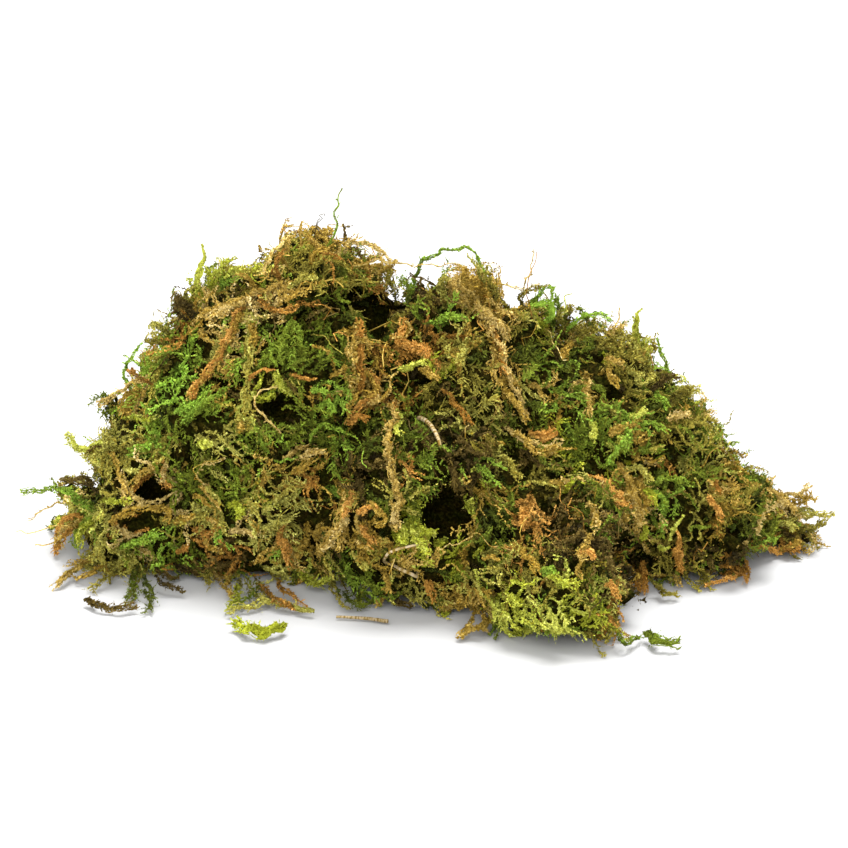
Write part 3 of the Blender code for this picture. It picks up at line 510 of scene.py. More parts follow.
# The kinds of shoot that each look has
MIXES = {
    "gold": ("wool", "rope", "frond", "wool", "feather"),
    "pale": ("wool", "rope", "frond"),
    "rust": ("rope", "wool", "frond", "braid"),
    "orange": ("wool", "braid", "frond", "feather"),
    "olive": ("feather", "rope", "wool", "plume", "braid"),
    "khaki": ("plume", "wool", "braid"),
    "lime": ("frond", "wool", "plume", "wool"),
    "bright": ("wool", "braid", "plume"),
    "green": ("feather", "rope", "plume", "wool"),
    "deep": ("plume", "wool", "braid"),
    "brown": ("rope", "wool"),
}


# ---- places ----


def sight(place):
    """The direction from the eye through a place."""
    across, down = place
    point = SIDE * (across - ORIGIN_STEPS[0]) * STEP + UP * (ORIGIN_STEPS[1] - down) * STEP
    return (point + CENTRING - EYE).normalized()


def place_of(point):
    """The place at which a point is seen."""
    way = point - EYE
    scale = EYE_DISTANCE / (way.dot(FORWARD) * STEP)
    return AXIS_STEPS[0] + way.dot(SIDE) * scale, AXIS_STEPS[1] - way.dot(UP) * scale


def floor_point(place, height):
    """The point at a height over the floor that is seen at a place."""
    way = sight(place)
    return EYE + way * ((height - EYE.z) / way.z)


def depth_point(place, depth):
    """The point this far ahead of the eye that is seen at a place."""
    way = sight(place)
    return EYE + way * (depth / way.dot(FORWARD))


def share_out(place, spot):
    """How far out a place is in an ellipse, from 0 at its middle to 1 at its rim."""
    across, down, half_width, half_height = spot
    return math.hypot((place[0] - across) / half_width, (place[1] - down) / half_height)


def places_along(strand):
    """The places of a strand told apart in the picture."""
    return list(zip(strand[2::2], strand[3::2]))


# ---- runs ----

TINY = 1e-9
SWELL_START, SWELL_SPAN = 0.12, 0.8


def unit(vectors):
    """The vectors at length one."""
    return vectors / np.maximum(np.linalg.norm(vectors, axis=-1, keepdims=True), TINY)


def at(values, share):
    """The values at shares of the runs, from 0 at the root to 1 at the tip."""
    last = values.shape[1] - 1
    place = np.clip(share, 0, 1) * last
    low = np.minimum(place.astype(int), last - 1)
    part = (place - low)[..., None]
    rows = np.arange(len(values))[:, None]
    return values[rows, low] * (1 - part) + values[rows, low + 1] * part


class Runs:
    """Curved runs of equal station count, with the way each faces, its tone and its shade at both ends."""

    def __init__(self, points, facing, tone, shade):
        self.points = points
        self.tangent = unit(np.gradient(points, axis=1))
        self.side = unit(np.cross(self.tangent, facing))
        self.face = np.cross(self.side, self.tangent)
        self.tone = tone
        self.shade = shade

    def length(self):
        """The length of each run."""
        return np.linalg.norm(np.diff(self.points, axis=1), axis=-1).sum(axis=1)

    def out_at(self, share, angle):
        """The way out of the runs at shares of them, at an angle round them."""
        return at(self.side, share) * np.cos(angle) + at(self.face, share) * np.sin(angle)

    def shade_at(self, share):
        """The shade at shares of the runs."""
        return self.shade[:, :1] + (self.shade[:, 1:] - self.shade[:, :1]) * share


def strewn(runs, count, rng, room=(0, 1)):
    """Shares of the runs: one in each of a count of equal parts, within its room there."""
    return (np.arange(count) + rng.uniform(*room, (len(runs.points), count))) / count


def swell(share):
    """How wide a run is at a share of it: most in the middle, and less at the tip than at the root."""
    return np.sin(math.pi * (SWELL_START + SWELL_SPAN * share))


def charted(tone, shade, offsets):
    """The chart places of triangles, with each corner a little off the triangle's own."""
    over = np.stack([tone + offset for offset, _ in offsets], axis=2)
    up = np.stack([shade + offset for _, offset in offsets], axis=2)
    return np.stack([over, up], axis=3).reshape(-1, 3, 2)


def joined(parts):
    """Parts in one: their corners and their chart places."""
    return [np.concatenate(found) for found in zip(*parts)]


# ---- leaves and side shoots ----

# Leaves: the angles at which their rows stand round a run, all round it or outside
ROUND = [math.radians(a) for a in (90, 205, 335)]
OUTSIDE = [math.radians(a) for a in (55, 125)]
# The share of the run that they take up, and how much smaller they are at its tip
LEAF_SPAN = 0.97
LEAF_TAPER = 0.6
# How far they turn from their row, how their size and the lift of their tip vary, and how they lean
LEAF_TURN = 0.35
LEAF_SIZES = (0.7, 1.3)
LEAF_LIFTS = (0.6, 1.5)
LEAF_LEAN = 0.25
LEAF_PRESS = 0.5
# How their tone and shade vary, and how far off each corner's chart place is: the foot's two, then the tip's
LEAF_TONE = 0.03
LEAF_SHADE = 0.06
# The foot's lower shade and the tip's higher one are painted shade and painted light on each leaf
LEAF_CHART = ((0, -0.14), (0.006, -0.12), (0.003, 0.16))

# Flakes: how their distance and size vary, how much both shrink to the tip, and how long they are
FLAKE_OFFS = (0.4, 1.3)
FLAKE_SIZES = (0.6, 1.3)
FLAKE_NEARING = 0.5
FLAKE_TAPER = 0.35
FLAKE_LONG = 1.3
FLAKE_TONE = 0.07
FLAKE_SHADE = 0.15
FLAKE_CHART = ((0, 0.12), (0.006, -0.06), (0.003, -0.06))

# Side shoots: stations, where they leave the run, and how far they turn from it and rise (mean and spread)
SIDE_STATIONS = 5
SIDE_ROOM = (0.1, 0.9)
SIDE_SPAN = 0.95
SIDE_START = 0.03
SIDE_TURN = (0.85, 0.4)
SIDE_RISE = (0.25, 0.45)
# How they curl along the run, off its face and to its side (mean and spread), and how much that counts
SIDE_CURLS = ((0.4, 0.6), (-0.1, 0.6), (0, 0.6))
SIDE_BEND = 0.6
# Their length, least and added in the middle of the run, how it varies, and how much lighter their tips are
SIDE_LENGTH = (0.35, 0.65)
SIDE_LENGTHS = (0.5, 1.35)
SIDE_TONE = 0.03
SIDE_LIGHT = 0.22

# Strips: fullness, how fast they twist, how their edges vary, and the tone and shade over them, with painted
# shade that darkens the rim below the arched middle
STRIP_FULLNESS = 0.6
STRIP_TWISTS = (4, 14)
STRIP_EDGES = (0.65, 1.35)
STRIP_RIM_PAINTED_SHADE = 0.14
STRIP_SPECKLE = 0.16
STRIP_TONE = 0.05
CHART_DRIFT = 0.004

# Strands of a bundle: their paces, how they stand side by side and swing, and how they spread to the tip
BUNDLE_PACES = (4, 12)
BUNDLE_EDGE = 0.7
BUNDLE_SWING = 0.55
BUNDLE_ROOT, BUNDLE_SPREAD = 0.5, 0.7
BUNDLE_HEIGHT = 0.5
BUNDLE_VARIES = 0.08

# Threads: how their radius varies, and the tube that they are
THREAD_SIZES = (0.8, 1.4)
THREAD_TUBE = dict(sides=3, taper=0.3)


def leaf_rows(runs, count, angles, leaf, rng):
    """Rows of leaves that overlap along each run: the corners of their triangles and their chart places."""
    width, reach, foot, lift = (v * MM for v in leaf)
    one_each = (len(runs.points), count, 1)
    corners, charts = [], []
    for middle in angles:
        share = strewn(runs, count, rng) * LEAF_SPAN
        point, tangent = at(runs.points, share), at(runs.tangent, share)
        angle = middle + rng.normal(0, LEAF_TURN, one_each)
        out = runs.out_at(share, angle)
        across = np.cross(tangent, out)
        size = (1 - LEAF_TAPER * share**2)[..., None] * rng.uniform(*LEAF_SIZES, one_each)
        start = point + out * foot * size * (1 - LEAF_PRESS * np.abs(np.sin(angle)))
        tip = point + tangent * reach * size + out * lift * size * rng.uniform(*LEAF_LIFTS, one_each)
        tip = tip + across * width * rng.normal(0, LEAF_LEAN, one_each)
        half = across * width * size / 2
        corners.append(np.stack([start - half, start + half, tip], axis=2).reshape(-1, 3, 3))
        tone = runs.tone[:, None] + rng.normal(0, LEAF_TONE, share.shape)
        shade = runs.shade_at(share) + rng.normal(0, LEAF_SHADE, share.shape)
        charts.append(charted(tone, shade, LEAF_CHART))
    return np.concatenate(corners), np.concatenate(charts)


def flakes(runs, count, flake, rng):
    """Small flakes that point every way, all round and along each run."""
    size, off = (v * MM for v in flake)
    n = len(runs.points)
    one_each, three_each = (n, count, 1), (n, count, 3)
    share = strewn(runs, count, rng)
    out = runs.out_at(share, rng.uniform(0, math.tau, one_each))
    reach = off * rng.uniform(*FLAKE_OFFS, one_each) * (1 - FLAKE_NEARING * share**2)[..., None]
    middle = at(runs.points, share) + out * reach
    one = unit(rng.normal(0, 1, three_each) + at(runs.tangent, share))
    two = unit(np.cross(one, rng.normal(0, 1, three_each) + out))
    half = size / 2 * rng.uniform(*FLAKE_SIZES, one_each) * (1 - FLAKE_TAPER * share**2)[..., None]
    back = middle - one * half
    ends = [middle + one * half * FLAKE_LONG, back + two * half, back - two * half]
    corners = np.stack(ends, axis=2).reshape(-1, 3, 3)
    tone = runs.tone[:, None] + rng.normal(0, FLAKE_TONE, share.shape)
    shade = runs.shade_at(share) + rng.normal(0, FLAKE_SHADE, share.shape)
    return corners, charted(tone, shade, FLAKE_CHART)


def side_shoots(runs, count, length, rng):
    """Short runs that leave each run to its left and right."""
    one_each = (len(runs.points), count, 1)
    share = strewn(runs, count, rng, SIDE_ROOM) * SIDE_SPAN + SIDE_START
    hand = np.where(np.arange(count) % 2, 1.0, -1.0)[None, :, None]
    angle = rng.normal(*SIDE_TURN, one_each)
    tangent, side, face = (at(v, share) for v in (runs.tangent, runs.side, runs.face))
    start = tangent * np.cos(angle) + side * np.sin(angle) * hand + face * rng.normal(*SIDE_RISE, one_each)
    curl = 0
    for along, amount in zip((tangent, face, side), SIDE_CURLS):
        curl = curl + along * rng.normal(*amount, one_each)
    least, added = SIDE_LENGTH
    size = length * (least + added * swell(share)) * rng.uniform(*SIDE_LENGTHS, share.shape)
    part = np.linspace(0, 1, SIDE_STATIONS)[None, :, None]
    first, start, curl, face = (v.reshape(-1, 1, 3) for v in (at(runs.points, share), start, curl, face))
    points = first + size.reshape(-1, 1, 1) * (start * part + curl * part * part * SIDE_BEND)
    facing = np.repeat(face, SIDE_STATIONS, axis=1)
    tone = (runs.tone[:, None] + rng.normal(0, SIDE_TONE, share.shape)).reshape(-1)
    low = runs.shade_at(share)
    return Runs(points, facing, tone, np.stack([low, low + SIDE_LIGHT], axis=2).reshape(-1, 2))


def woven(*grids):
    """The triangles of grids of places, rows by columns."""
    found = []
    for grid in grids:
        here, aside, ahead, across = grid[:, :-1, :-1], grid[:, :-1, 1:], grid[:, 1:, :-1], grid[:, 1:, 1:]
        one = np.stack([here, aside, ahead], axis=-2).reshape(-1, 3, grid.shape[-1])
        two = np.stack([aside, across, ahead], axis=-2).reshape(-1, 3, grid.shape[-1])
        found.append(np.concatenate([one, two]))
    return found


def strips(runs, half, rng, columns, arch, crumple, twist, point):
    """An arched and twisted strip with uneven edges along each run."""
    n, stations = runs.points.shape[:2]
    each = (n, stations, columns)
    share = np.linspace(0, 1, stations)[None, :, None]
    across = np.linspace(-1, 1, columns)[None, None, :]
    width = half * (swell(share) ** STRIP_FULLNESS * (1 - point * share**2))
    pace, phase = rng.uniform(*STRIP_TWISTS, (n, 1, 1)), rng.uniform(0, math.tau, (n, 1, 1))
    turn = twist * np.sin(share * pace + phase)
    side = runs.side * np.cos(turn) + runs.face * np.sin(turn)
    face = runs.face * np.cos(turn) - runs.side * np.sin(turn)
    aside = width * across * rng.uniform(*STRIP_EDGES, each)
    above = width * (arch * (1 - across**2) + crumple * rng.normal(0, 1, each))
    places = runs.points[:, :, None] + side[:, :, None] * aside[..., None]
    places = places + face[:, :, None] * above[..., None]
    shade = runs.shade_at(share[..., 0])[..., None] - STRIP_RIM_PAINTED_SHADE * across**2
    shade = shade + rng.normal(0, STRIP_SPECKLE, each)
    tone = runs.tone[:, None, None] + rng.normal(0, STRIP_TONE, each) + CHART_DRIFT * across
    return woven(places, np.stack([tone, shade], axis=-1))


def bundles(runs, count, spread, rng, sway=1.0):
    """Runs that keep along each run side by side, and part and meet again."""
    n, stations = runs.points.shape[:2]
    share = np.linspace(0, 1, stations)[None, None, :]
    pace = rng.uniform(*BUNDLE_PACES, (2, n, count, 1)) * sway
    phase = rng.uniform(0, math.tau, (2, n, count, 1))
    order = np.linspace(-BUNDLE_EDGE, BUNDLE_EDGE, count)[None, :, None]
    aside = (order + BUNDLE_SWING * np.sin(share * pace[0] + phase[0])) * spread
    aside = aside * (BUNDLE_ROOT + BUNDLE_SPREAD * share)
    above = np.sin(share * pace[1] + phase[1]) * spread * BUNDLE_HEIGHT
    points = runs.points[:, None] + runs.side[:, None] * aside[..., None]
    points = points + runs.face[:, None] * above[..., None]
    facing = np.broadcast_to(runs.face[:, None], points.shape)
    tone = runs.tone[:, None] + rng.normal(0, BUNDLE_VARIES, (n, count))
    shade = np.repeat(runs.shade, count, axis=0) + rng.normal(0, BUNDLE_VARIES, (n * count, 1))
    return Runs(points.reshape(-1, stations, 3), facing.reshape(-1, stations, 3), tone.reshape(-1), shade)


def tubes(runs, radius, sides, taper):
    """A thin closed stem along each run."""
    share = np.linspace(0, 1, runs.points.shape[1])[None, :, None]
    size = np.asarray(radius).reshape(-1, 1, 1) * (1 - taper * share)
    angle = math.tau * np.arange(sides + 1) / sides
    out = runs.side[:, :, None] * np.cos(angle)[:, None] + runs.face[:, :, None] * np.sin(angle)[:, None]
    places = runs.points[:, :, None] + out * size[..., None]
    shade = np.repeat(runs.shade_at(share[..., 0])[..., None], sides + 1, axis=2)
    tone = runs.tone[:, None, None] + CHART_DRIFT * np.arange(sides + 1)
    return woven(places, np.stack([np.broadcast_to(tone, shade.shape), shade], axis=-1))


def grow(runs, kind, rng):
    """Everything that grows along runs of this kind: corners and chart places."""
    facts = KINDS[kind]
    parts = []
    if facts["tube"]:
        radius = facts["tube"] * MM * rng.uniform(*THREAD_SIZES, len(runs.points))
        parts.append(tubes(runs, radius, **THREAD_TUBE))
    if facts["flakes"]:
        count, spread = facts["strands"]
        strands = bundles(runs, count, spread * MM, rng) if count > 1 else runs
        parts.append(flakes(strands, facts["flakes"], facts["flake"], rng))
    if facts["leaves"]:
        parts.append(leaf_rows(runs, facts["leaves"], ROUND, facts["leaf"], rng))
    if facts["sides"]:
        sides = side_shoots(runs, facts["sides"], facts["side"] * MM, rng)
        parts.append(leaf_rows(sides, facts["side_leaves"], OUTSIDE, FINE_LEAF, rng))
    return joined(parts)


# ---- the heap's tufts ----

# Points drawn all over the heap, from which the tufts, mats, fringe and threads are taken
CANDIDATES = 24_000

# Tufts: how far apart they are, in front and behind, and how many shoots they have and how far aside
TUFT_GAP = 5.3 * MM
TUFT_GAP_BEHIND = 7.6 * MM
LOWEST_TUFT = 0.8 * MM
FRONT_TILT = 0.2
UNDER_TILT = -0.3
SHOOTS_PER_TUFT = (2, 4)
ASIDE = 2.4 * MM
TUFT_LEAN = 0.35
TUFT_UNEVEN = 0.9
TUFT_TONE = 0.06
# Shade at root and tip: the dark roots are partly painted shade deep in the tuft, the light tips partly
# painted light
ROOT_SHADES = (0, 0.25)
TIP_SHADES = (0.6, 0.9)

# Some shoots stand proud
PROUD = 0.12
PROUD_LIFT = 2.6

# The beds that they lie in. A bed is a wad of one look whose shoots run one way. It stands up in the
# middle and sinks to a crease at its rim, with painted light in the middle and painted shade in the crease.
# Its shoots keep to its look this often.
BED_COUNT = 330
BED_HOLD = 0.85
BED_DROOP = (0, 0, 0.4)
BED_TOP = 2.6 * MM
BED_RIM = -1.6 * MM
BED_PAINTED_LIGHT = 0.12

# The same for the patches told apart, how far past its rim one reaches, and how much its shoots' way varies
PATCH_HOLD = 0.85
PATCH_REACH = 1.3
PATCH_LEAN = 0.45

# How far a sunk place goes down, the part of the heap's thickness that this may be, and how shoots lift
# there. The thickness is felt for from a little below the surface.
LOW_DEPTH = 9 * MM
LOW_SHARE = 0.45
LOW_LIFT = 0.3
THIN = 0.3 * MM

# Hollows are told by how much of the sky a tuft sees, looking this far. This also sets painted light and
# shade: painted shade in hollows, painted light where the sky is open.
# Some tufts in shut places are left out, and those in places nearly as shut lie as low as a bed's rim.
SKY_RAYS = 28
SKY_REACH = 24 * MM
SKY_START = 2 * MM
SKY_LEAST = 0.1
SHUT = 0.34
SHUT_SKIP = 0.4
SHUT_NEAR = 1.6
SKY_PAINTED_LIGHT = 0.45
SKY_EVEN = 0.75

# A point is seen when the line of sight to it meets the heap this near to it
SEEN_WITHIN = 6 * MM

# The left flank: painted light raises its shade, and its tone is paler
PALE_SIDE = -48 * MM
PALE_PAINTED_LIGHT = 0.22
PALE_TONE = 0.12

# How a shoot creeps: what it keeps and takes on of its way up at each step, how deep its root is in
# millimetres and in which part of its length it comes up, how flat it keeps to the heap, how it finds back
# from far off, how clear of the ground it stays, and how flat a way on the heap is at least
UP_KEPT, UP_NEW = 0.6, 0.4
ROOT_DEPTH = 2.2
ROOT_PARTS = 3
FLATTEN = 0.7
NEAR = 14 * MM
FIND_BACK = 0.3
RUN_CLEAR = 0.6 * MM
LEAST_FLAT = 0.05

# Shoots keep below a single frond or stem that they come this near to
SINGLE_ROOM = 3.2 * MM
SINGLE_HEIGHT = -0.2 * MM

# Mats: short shoots deep between the tufts, often in dark looks and with a low shade: painted shade between
# the tufts
MAT_GAP = 5.6 * MM
MAT_DEPTH = (-2.2 * MM, -0.5 * MM)
MAT_LOOKS = (("dark_moss", 0.35), ("green_moss", 0.1), ("olive_moss", 0.1), ("green_moss", 0.2))
MAT_PAINTED_SHADE = (0, 0.4)
MAT_LIKE_BED = 0.6
MAT_TONE = 0.1

# Shoots that run out over the floor
FRINGE_GAP = 7.5 * MM
FRINGE_HEIGHT = 9 * MM
FRINGE_TILT = 0.75
FRINGE_LENGTH = (6 * MM, 15 * MM)
FRINGE_ROOT = 2 * MM
FRINGE_TURN = 0.6
FRINGE_BEND = 0.9
FRINGE_LIFT = (0.5, 1.2)
FRINGE_FACE = 0.3
FRINGE_SHADES = (0, 0.3)
FRINGE_TIP = 0.75

# Strands told apart: the height of a stray's root and tip and the way it faces, and how deep a wisp's root
# is and how far it stands out
STRAY_ROOT = 6 * MM
STRAY_TIP = 1.4 * MM
STRAY_FACE = (0, -0.4, 1)
WISP_ROOT = 2 * MM
WISP_OUT = -2.5 * MM
# How far a laid strand keeps off the heap, how much it may step in depth from place to place, and the
# points on each of its stretches that other shoots keep below, this far behind it
LAID_HEIGHT = 3.4 * MM
LAID_STEP = 6 * MM
LAID_ROOM = 1.6 * MM
LAID_SHARES = (0, 0.33, 0.67, 1)
# How such strands are made up: how many shoots, how far they bend, and their shade at root and tip
LOOSE = (3, np.array((0.9, 1.3, 0.5)) * MM, (0.15, 0.85))
# The laid strands' higher shade is painted light, as on sunlit strands
CLOSE = (2, np.array((0.7, 0.8, 0.5)) * MM, (0.5, 1.15))
STRAND_STARTS = (0, 0.25)
STRAND_ENDS = (0.75, 1)
STRAND_PACES = (2, 6)

# Thin bare stems
THREADS = 110
CREST_THREADS = 60
CREST_HEIGHT = 88 * MM
THREAD_HEIGHTS = (1.5, 3)
THREAD_LIFTS = (0, 5)
THREAD_SHADE = (0.35, 0.85)
THREAD_LOOKS = ("gold", "pale", "rust", "brown", "olive")


def tree_of(mesh):
    """The mesh's faces, ready for rays and nearest points."""
    return BVHTree.FromPolygons([v.co for v in mesh.vertices], [p.vertices[:] for p in mesh.polygons])


def seen(tree, point):
    """True where the eye sees the heap's surface at this point."""
    way = point - EYE
    hit = tree.ray_cast(EYE, way.normalized())[0]
    return hit is not None and (hit - point).length < SEEN_WITHIN


def sky_directions():
    """Directions spread evenly all round."""
    turn = math.pi * (3 - math.sqrt(5))
    found = []
    for k in range(2 * SKY_RAYS):
        height = 1 - (k + 0.5) / SKY_RAYS
        flat = math.sqrt(max(0, 1 - height * height))
        found.append(Vector((flat * math.cos(turn * k), flat * math.sin(turn * k), height)))
    return found


def sky_share(tree, point, normal, directions):
    """The share of the directions off the surface in which nothing is near."""
    start = point + normal * SKY_START
    ways = [way for way in directions if way.dot(normal) > SKY_LEAST]
    free = sum(tree.ray_cast(start, way, SKY_REACH)[0] is None for way in ways)
    return free / len(ways)


def scattered(mesh, rng):
    """Random points on the mesh, even over its area, each with its normal."""
    mesh.calc_loop_triangles()
    corners = np.array([[mesh.vertices[v].co for v in t.vertices] for t in mesh.loop_triangles])
    across = np.cross(corners[:, 1] - corners[:, 0], corners[:, 2] - corners[:, 0])
    area = np.linalg.norm(across, axis=1)
    which = rng.choice(len(area), CANDIDATES, p=area / area.sum())
    a, b = rng.uniform(0, 1, (2, CANDIDATES, 1))
    flip = a + b > 1
    a, b = np.where(flip, 1 - a, a), np.where(flip, 1 - b, b)
    base = corners[which]
    points = base[:, 0] + (base[:, 1] - base[:, 0]) * a + (base[:, 2] - base[:, 0]) * b
    return points, unit(across)[which]


def spaced(points, normals, gap_at):
    """The points that stand far enough from those before them."""
    kept, cells = [], {}
    size = TUFT_GAP_BEHIND
    for point, normal in zip(points, normals):
        if point[2] < LOWEST_TUFT and normal[2] < UNDER_TILT:
            continue
        gap = gap_at(point, normal)
        cell = tuple(int(c // size) for c in point)
        around = [
            other
            for x in (-1, 0, 1) for y in (-1, 0, 1) for z in (-1, 0, 1)
            for other in cells.get((cell[0] + x, cell[1] + y, cell[2] + z), ())
        ]
        if all(np.sum((other - point) ** 2) >= gap * gap for other in around):
            cells.setdefault(cell, []).append(point)
            kept.append((Vector(point), Vector(normal)))
    return kept


def sink(tree, point, normal):
    """How far the moss lies below the solid's face, at most a part of how thick the heap is there."""
    place = place_of(point)
    least = min(share_out(place, spot) for spot in LOW_PLACES)
    if least >= 1:
        return 0
    depth = LOW_DEPTH * (1 - least * least)
    thick = tree.ray_cast(point - normal * THIN, -normal, depth / LOW_SHARE)[3]
    return depth if thick is None else min(depth, (thick + THIN) * LOW_SHARE)


def random_look(rng):
    """One of the common looks."""
    odds = np.array(list(COMMON.values()))
    return str(rng.choice(list(COMMON), p=odds / odds.sum()))


class Beds:
    """The wads of moss: those told apart in the picture, and others all over the heap."""

    def __init__(self, points, rng):
        self.middles = points[:BED_COUNT]
        self.looks = [random_look(rng) for _ in range(BED_COUNT)]
        self.ways = [Vector(way) for way in rng.normal(0, 1, (BED_COUNT, 3)) - BED_DROOP]
        self.leans = rng.normal(0, PATCH_LEAN, len(PATCHES))
        self.rng = rng

    def patch_at(self, place):
        """The nearest patch at a place, and how far out in it the place is."""
        best, least = None, PATCH_REACH
        for k, patch in enumerate(PATCHES):
            share = share_out(place, patch[1:])
            if share < least:
                best, least = k, share
        return best, least / PATCH_REACH

    def look_like(self, look, hold):
        """The look, as often as it holds, or else a random one."""
        held = self.rng.uniform() < hold
        return look if held else random_look(self.rng)

    def at(self, tree, point):
        """The look at a point of the heap, the way its shoots run, and how far out in its bed it is."""
        if seen(tree, point):
            k, share = self.patch_at(place_of(point))
            if k is not None:
                look, _, _, half_width, half_height = PATCHES[k]
                lean = self.leans[k] + (math.pi / 2 if half_height > half_width else 0)
                way = SIDE * math.cos(lean) - UP * math.sin(lean)
                return self.look_like(look, PATCH_HOLD), way, share
        gaps = np.linalg.norm(self.middles - np.array(point), axis=1)
        first, second = np.argsort(gaps)[:2]
        return self.look_like(self.looks[first], BED_HOLD), self.ways[first], gaps[first] / gaps[second]


def creep(ground, point, normal, way, facts, base, lift, rng):
    """A run that creeps over the heap from a point, with a sunk root and a lifted tip."""
    tree, singles = ground
    stations = facts["stations"]
    step = rng.uniform(*facts["length"]) * MM / (stations - 1)
    up = normal.copy()
    here = point.copy()
    curl = rng.normal(0, facts["curl"]) * step / MM
    wave, phase = rng.uniform(*facts["wave"]), rng.uniform(0, math.tau)
    points, facing = [], []
    for k in range(stations):
        share = k / (stations - 1)
        near, out = tree.find_nearest(here)[:2]
        up = (up * UP_KEPT + out * UP_NEW).normalized()
        depth = sink(tree, near, out)
        height = base - depth - ROOT_DEPTH * MM * (1 - min(1, share * ROOT_PARTS))
        height += lift * share * share * (LOW_LIFT if depth else 1)
        if singles.find(here)[2] < SINGLE_ROOM:
            height = min(height, SINGLE_HEIGHT)
        here = near + out * height if (here - near).length < NEAR else here.lerp(near, FIND_BACK)
        here.z = max(here.z, GROUND_GAP + RUN_CLEAR)
        points.append(here.copy())
        facing.append(up.copy())
        way = way - up * way.dot(up) * FLATTEN
        way.rotate(Matrix.Rotation(curl + wave * math.sin(phase + share * facts["turns"]), 3, up))
        way = way.normalized()
        here = here + way * step
    return points, facing


class Shoots:
    """Runs of shoots by material slot and kind, until they are grown."""

    def __init__(self):
        self.found = {}

    def add(self, slot, kind, run, tone, shade):
        """One more run, with its facing, tone, and shade at root and tip."""
        self.found.setdefault((slot, kind), []).append((*run, tone, shade))

    def grown(self, rng):
        """All that grows along them, by slot: corners and chart places."""
        parts = {}
        for (slot, kind), found in sorted(self.found.items()):
            points, facing, tone, shade = (np.array([f[k] for f in found]) for k in range(4))
            parts.setdefault(slot, []).append(grow(Runs(points, facing, tone, shade), kind, rng))
        return {slot: joined(found) for slot, found in parts.items()}


def turned(way, normal, angle):
    """The direction laid on a surface and turned on it."""
    flat = way - normal * way.dot(normal)
    if flat.length < LEAST_FLAT * way.length:
        flat = normal.orthogonal()
    return Matrix.Rotation(angle, 3, normal) @ flat.normalized()


def any_way(normal, rng):
    """A random direction on a surface."""
    return turned(SIDE + UP, normal, rng.uniform(0, math.tau))


def add_tufts(shoots, ground, beds, points, normals, rng):
    """Tufts of a few shoots in beds all over the heap."""
    tree = ground[0]
    directions = sky_directions()

    def gap_at(point, normal):
        front = normal[1] < FRONT_TILT or seen(tree, Vector(point) + Vector(normal) * MM)
        return TUFT_GAP if front else TUFT_GAP_BEHIND

    for point, normal in spaced(points, normals, gap_at):
        sky = sky_share(tree, point, normal, directions)
        if sky < SHUT and rng.uniform() < SHUT_SKIP:
            continue
        look, way, share = beds.at(tree, point)
        slot, low, high = LOOKS[look]
        tone = rng.uniform(low, high)
        # Painted light and shade on the tuft: darker in hollows and bed creases, lighter where the sky is
        # open and in bed middles
        light = SKY_PAINTED_LIGHT * (sky - SKY_EVEN) + BED_PAINTED_LIGHT * (1 - share * share)
        dome = BED_RIM + (BED_TOP - BED_RIM) * (1 - share * share)
        if sky < SHUT * SHUT_NEAR:
            dome = BED_RIM
        # Painted light on the left flank, and a paler tone there
        if point.x < PALE_SIDE:
            light += PALE_PAINTED_LIGHT
            tone += PALE_TONE
        lean = rng.normal(0, TUFT_LEAN)
        for _ in range(rng.integers(*SHOOTS_PER_TUFT, endpoint=True)):
            kind = str(rng.choice(MIXES[look]))
            facts = KINDS[kind]
            start = point + any_way(normal, rng) * rng.uniform(0, ASIDE)
            heading = turned(way, normal, lean + rng.normal(0, TUFT_LEAN))
            base = dome + rng.uniform(-TUFT_UNEVEN, TUFT_UNEVEN) * MM
            lift = abs(rng.normal(facts["lift"], 1)) * MM * (PROUD_LIFT if rng.uniform() < PROUD else 1)
            run = creep(ground, start, normal, heading, facts, base, lift, rng)
            shade = (rng.uniform(*ROOT_SHADES) + light, rng.uniform(*TIP_SHADES) + light)
            shoots.add(slot, kind, run, tone + rng.normal(0, TUFT_TONE), shade)


def add_mats(shoots, ground, beds, points, normals, rng):
    """Short shoots deep between the tufts, painted dark as the shade there."""
    for point, normal in spaced(points[::-1], normals[::-1], lambda p, n: MAT_GAP):
        slot, tone = MAT_LOOKS[rng.integers(len(MAT_LOOKS))]
        if rng.uniform() < MAT_LIKE_BED:
            slot, low, high = LOOKS[beds.at(ground[0], point)[0]]
            tone = rng.uniform(low, high)
        way = any_way(normal, rng)
        run = creep(ground, point, normal, way, KINDS["mat"], rng.uniform(*MAT_DEPTH), 0, rng)
        shoots.add(slot, "mat", run, tone + rng.normal(0, MAT_TONE), MAT_PAINTED_SHADE)


def add_fringe(shoots, ground, points, normals, rng):
    """Shoots that run out over the floor from the heap's foot."""
    low = (points[:, 2] < FRINGE_HEIGHT) & (normals[:, 2] < FRINGE_TILT)
    for point, normal in spaced(points[low], normals[low], lambda p, n: FRINGE_GAP):
        if sink(ground[0], point, normal):
            continue
        look = random_look(rng)
        slot, bottom, top = LOOKS[look]
        kind = str(rng.choice(MIXES[look]))
        stations = KINDS[kind]["stations"]
        length = rng.uniform(*FRINGE_LENGTH)
        out = Vector((normal.x, normal.y, 0)).normalized()
        way = Matrix.Rotation(rng.normal(0, FRINGE_TURN), 3, "Z") @ out
        turn = Matrix.Rotation(rng.normal(0, FRINGE_BEND) / stations, 3, "Z")
        here, run = point - normal * FRINGE_ROOT, []
        for k in range(stations):
            share = k / (stations - 1)
            height = here.z * (1 - share) ** 2 + rng.uniform(*FRINGE_LIFT) * MM
            run.append(Vector((here.x, here.y, height)))
            way = turn @ way
            here = here + way * length / stations
        facing = [Vector((out.x * FRINGE_FACE, out.y * FRINGE_FACE, 1)).normalized()] * stations
        tone, root = rng.uniform(bottom, top), rng.uniform(*FRINGE_SHADES)
        shoots.add(slot, kind, (run, facing), tone, (root, FRINGE_TIP))


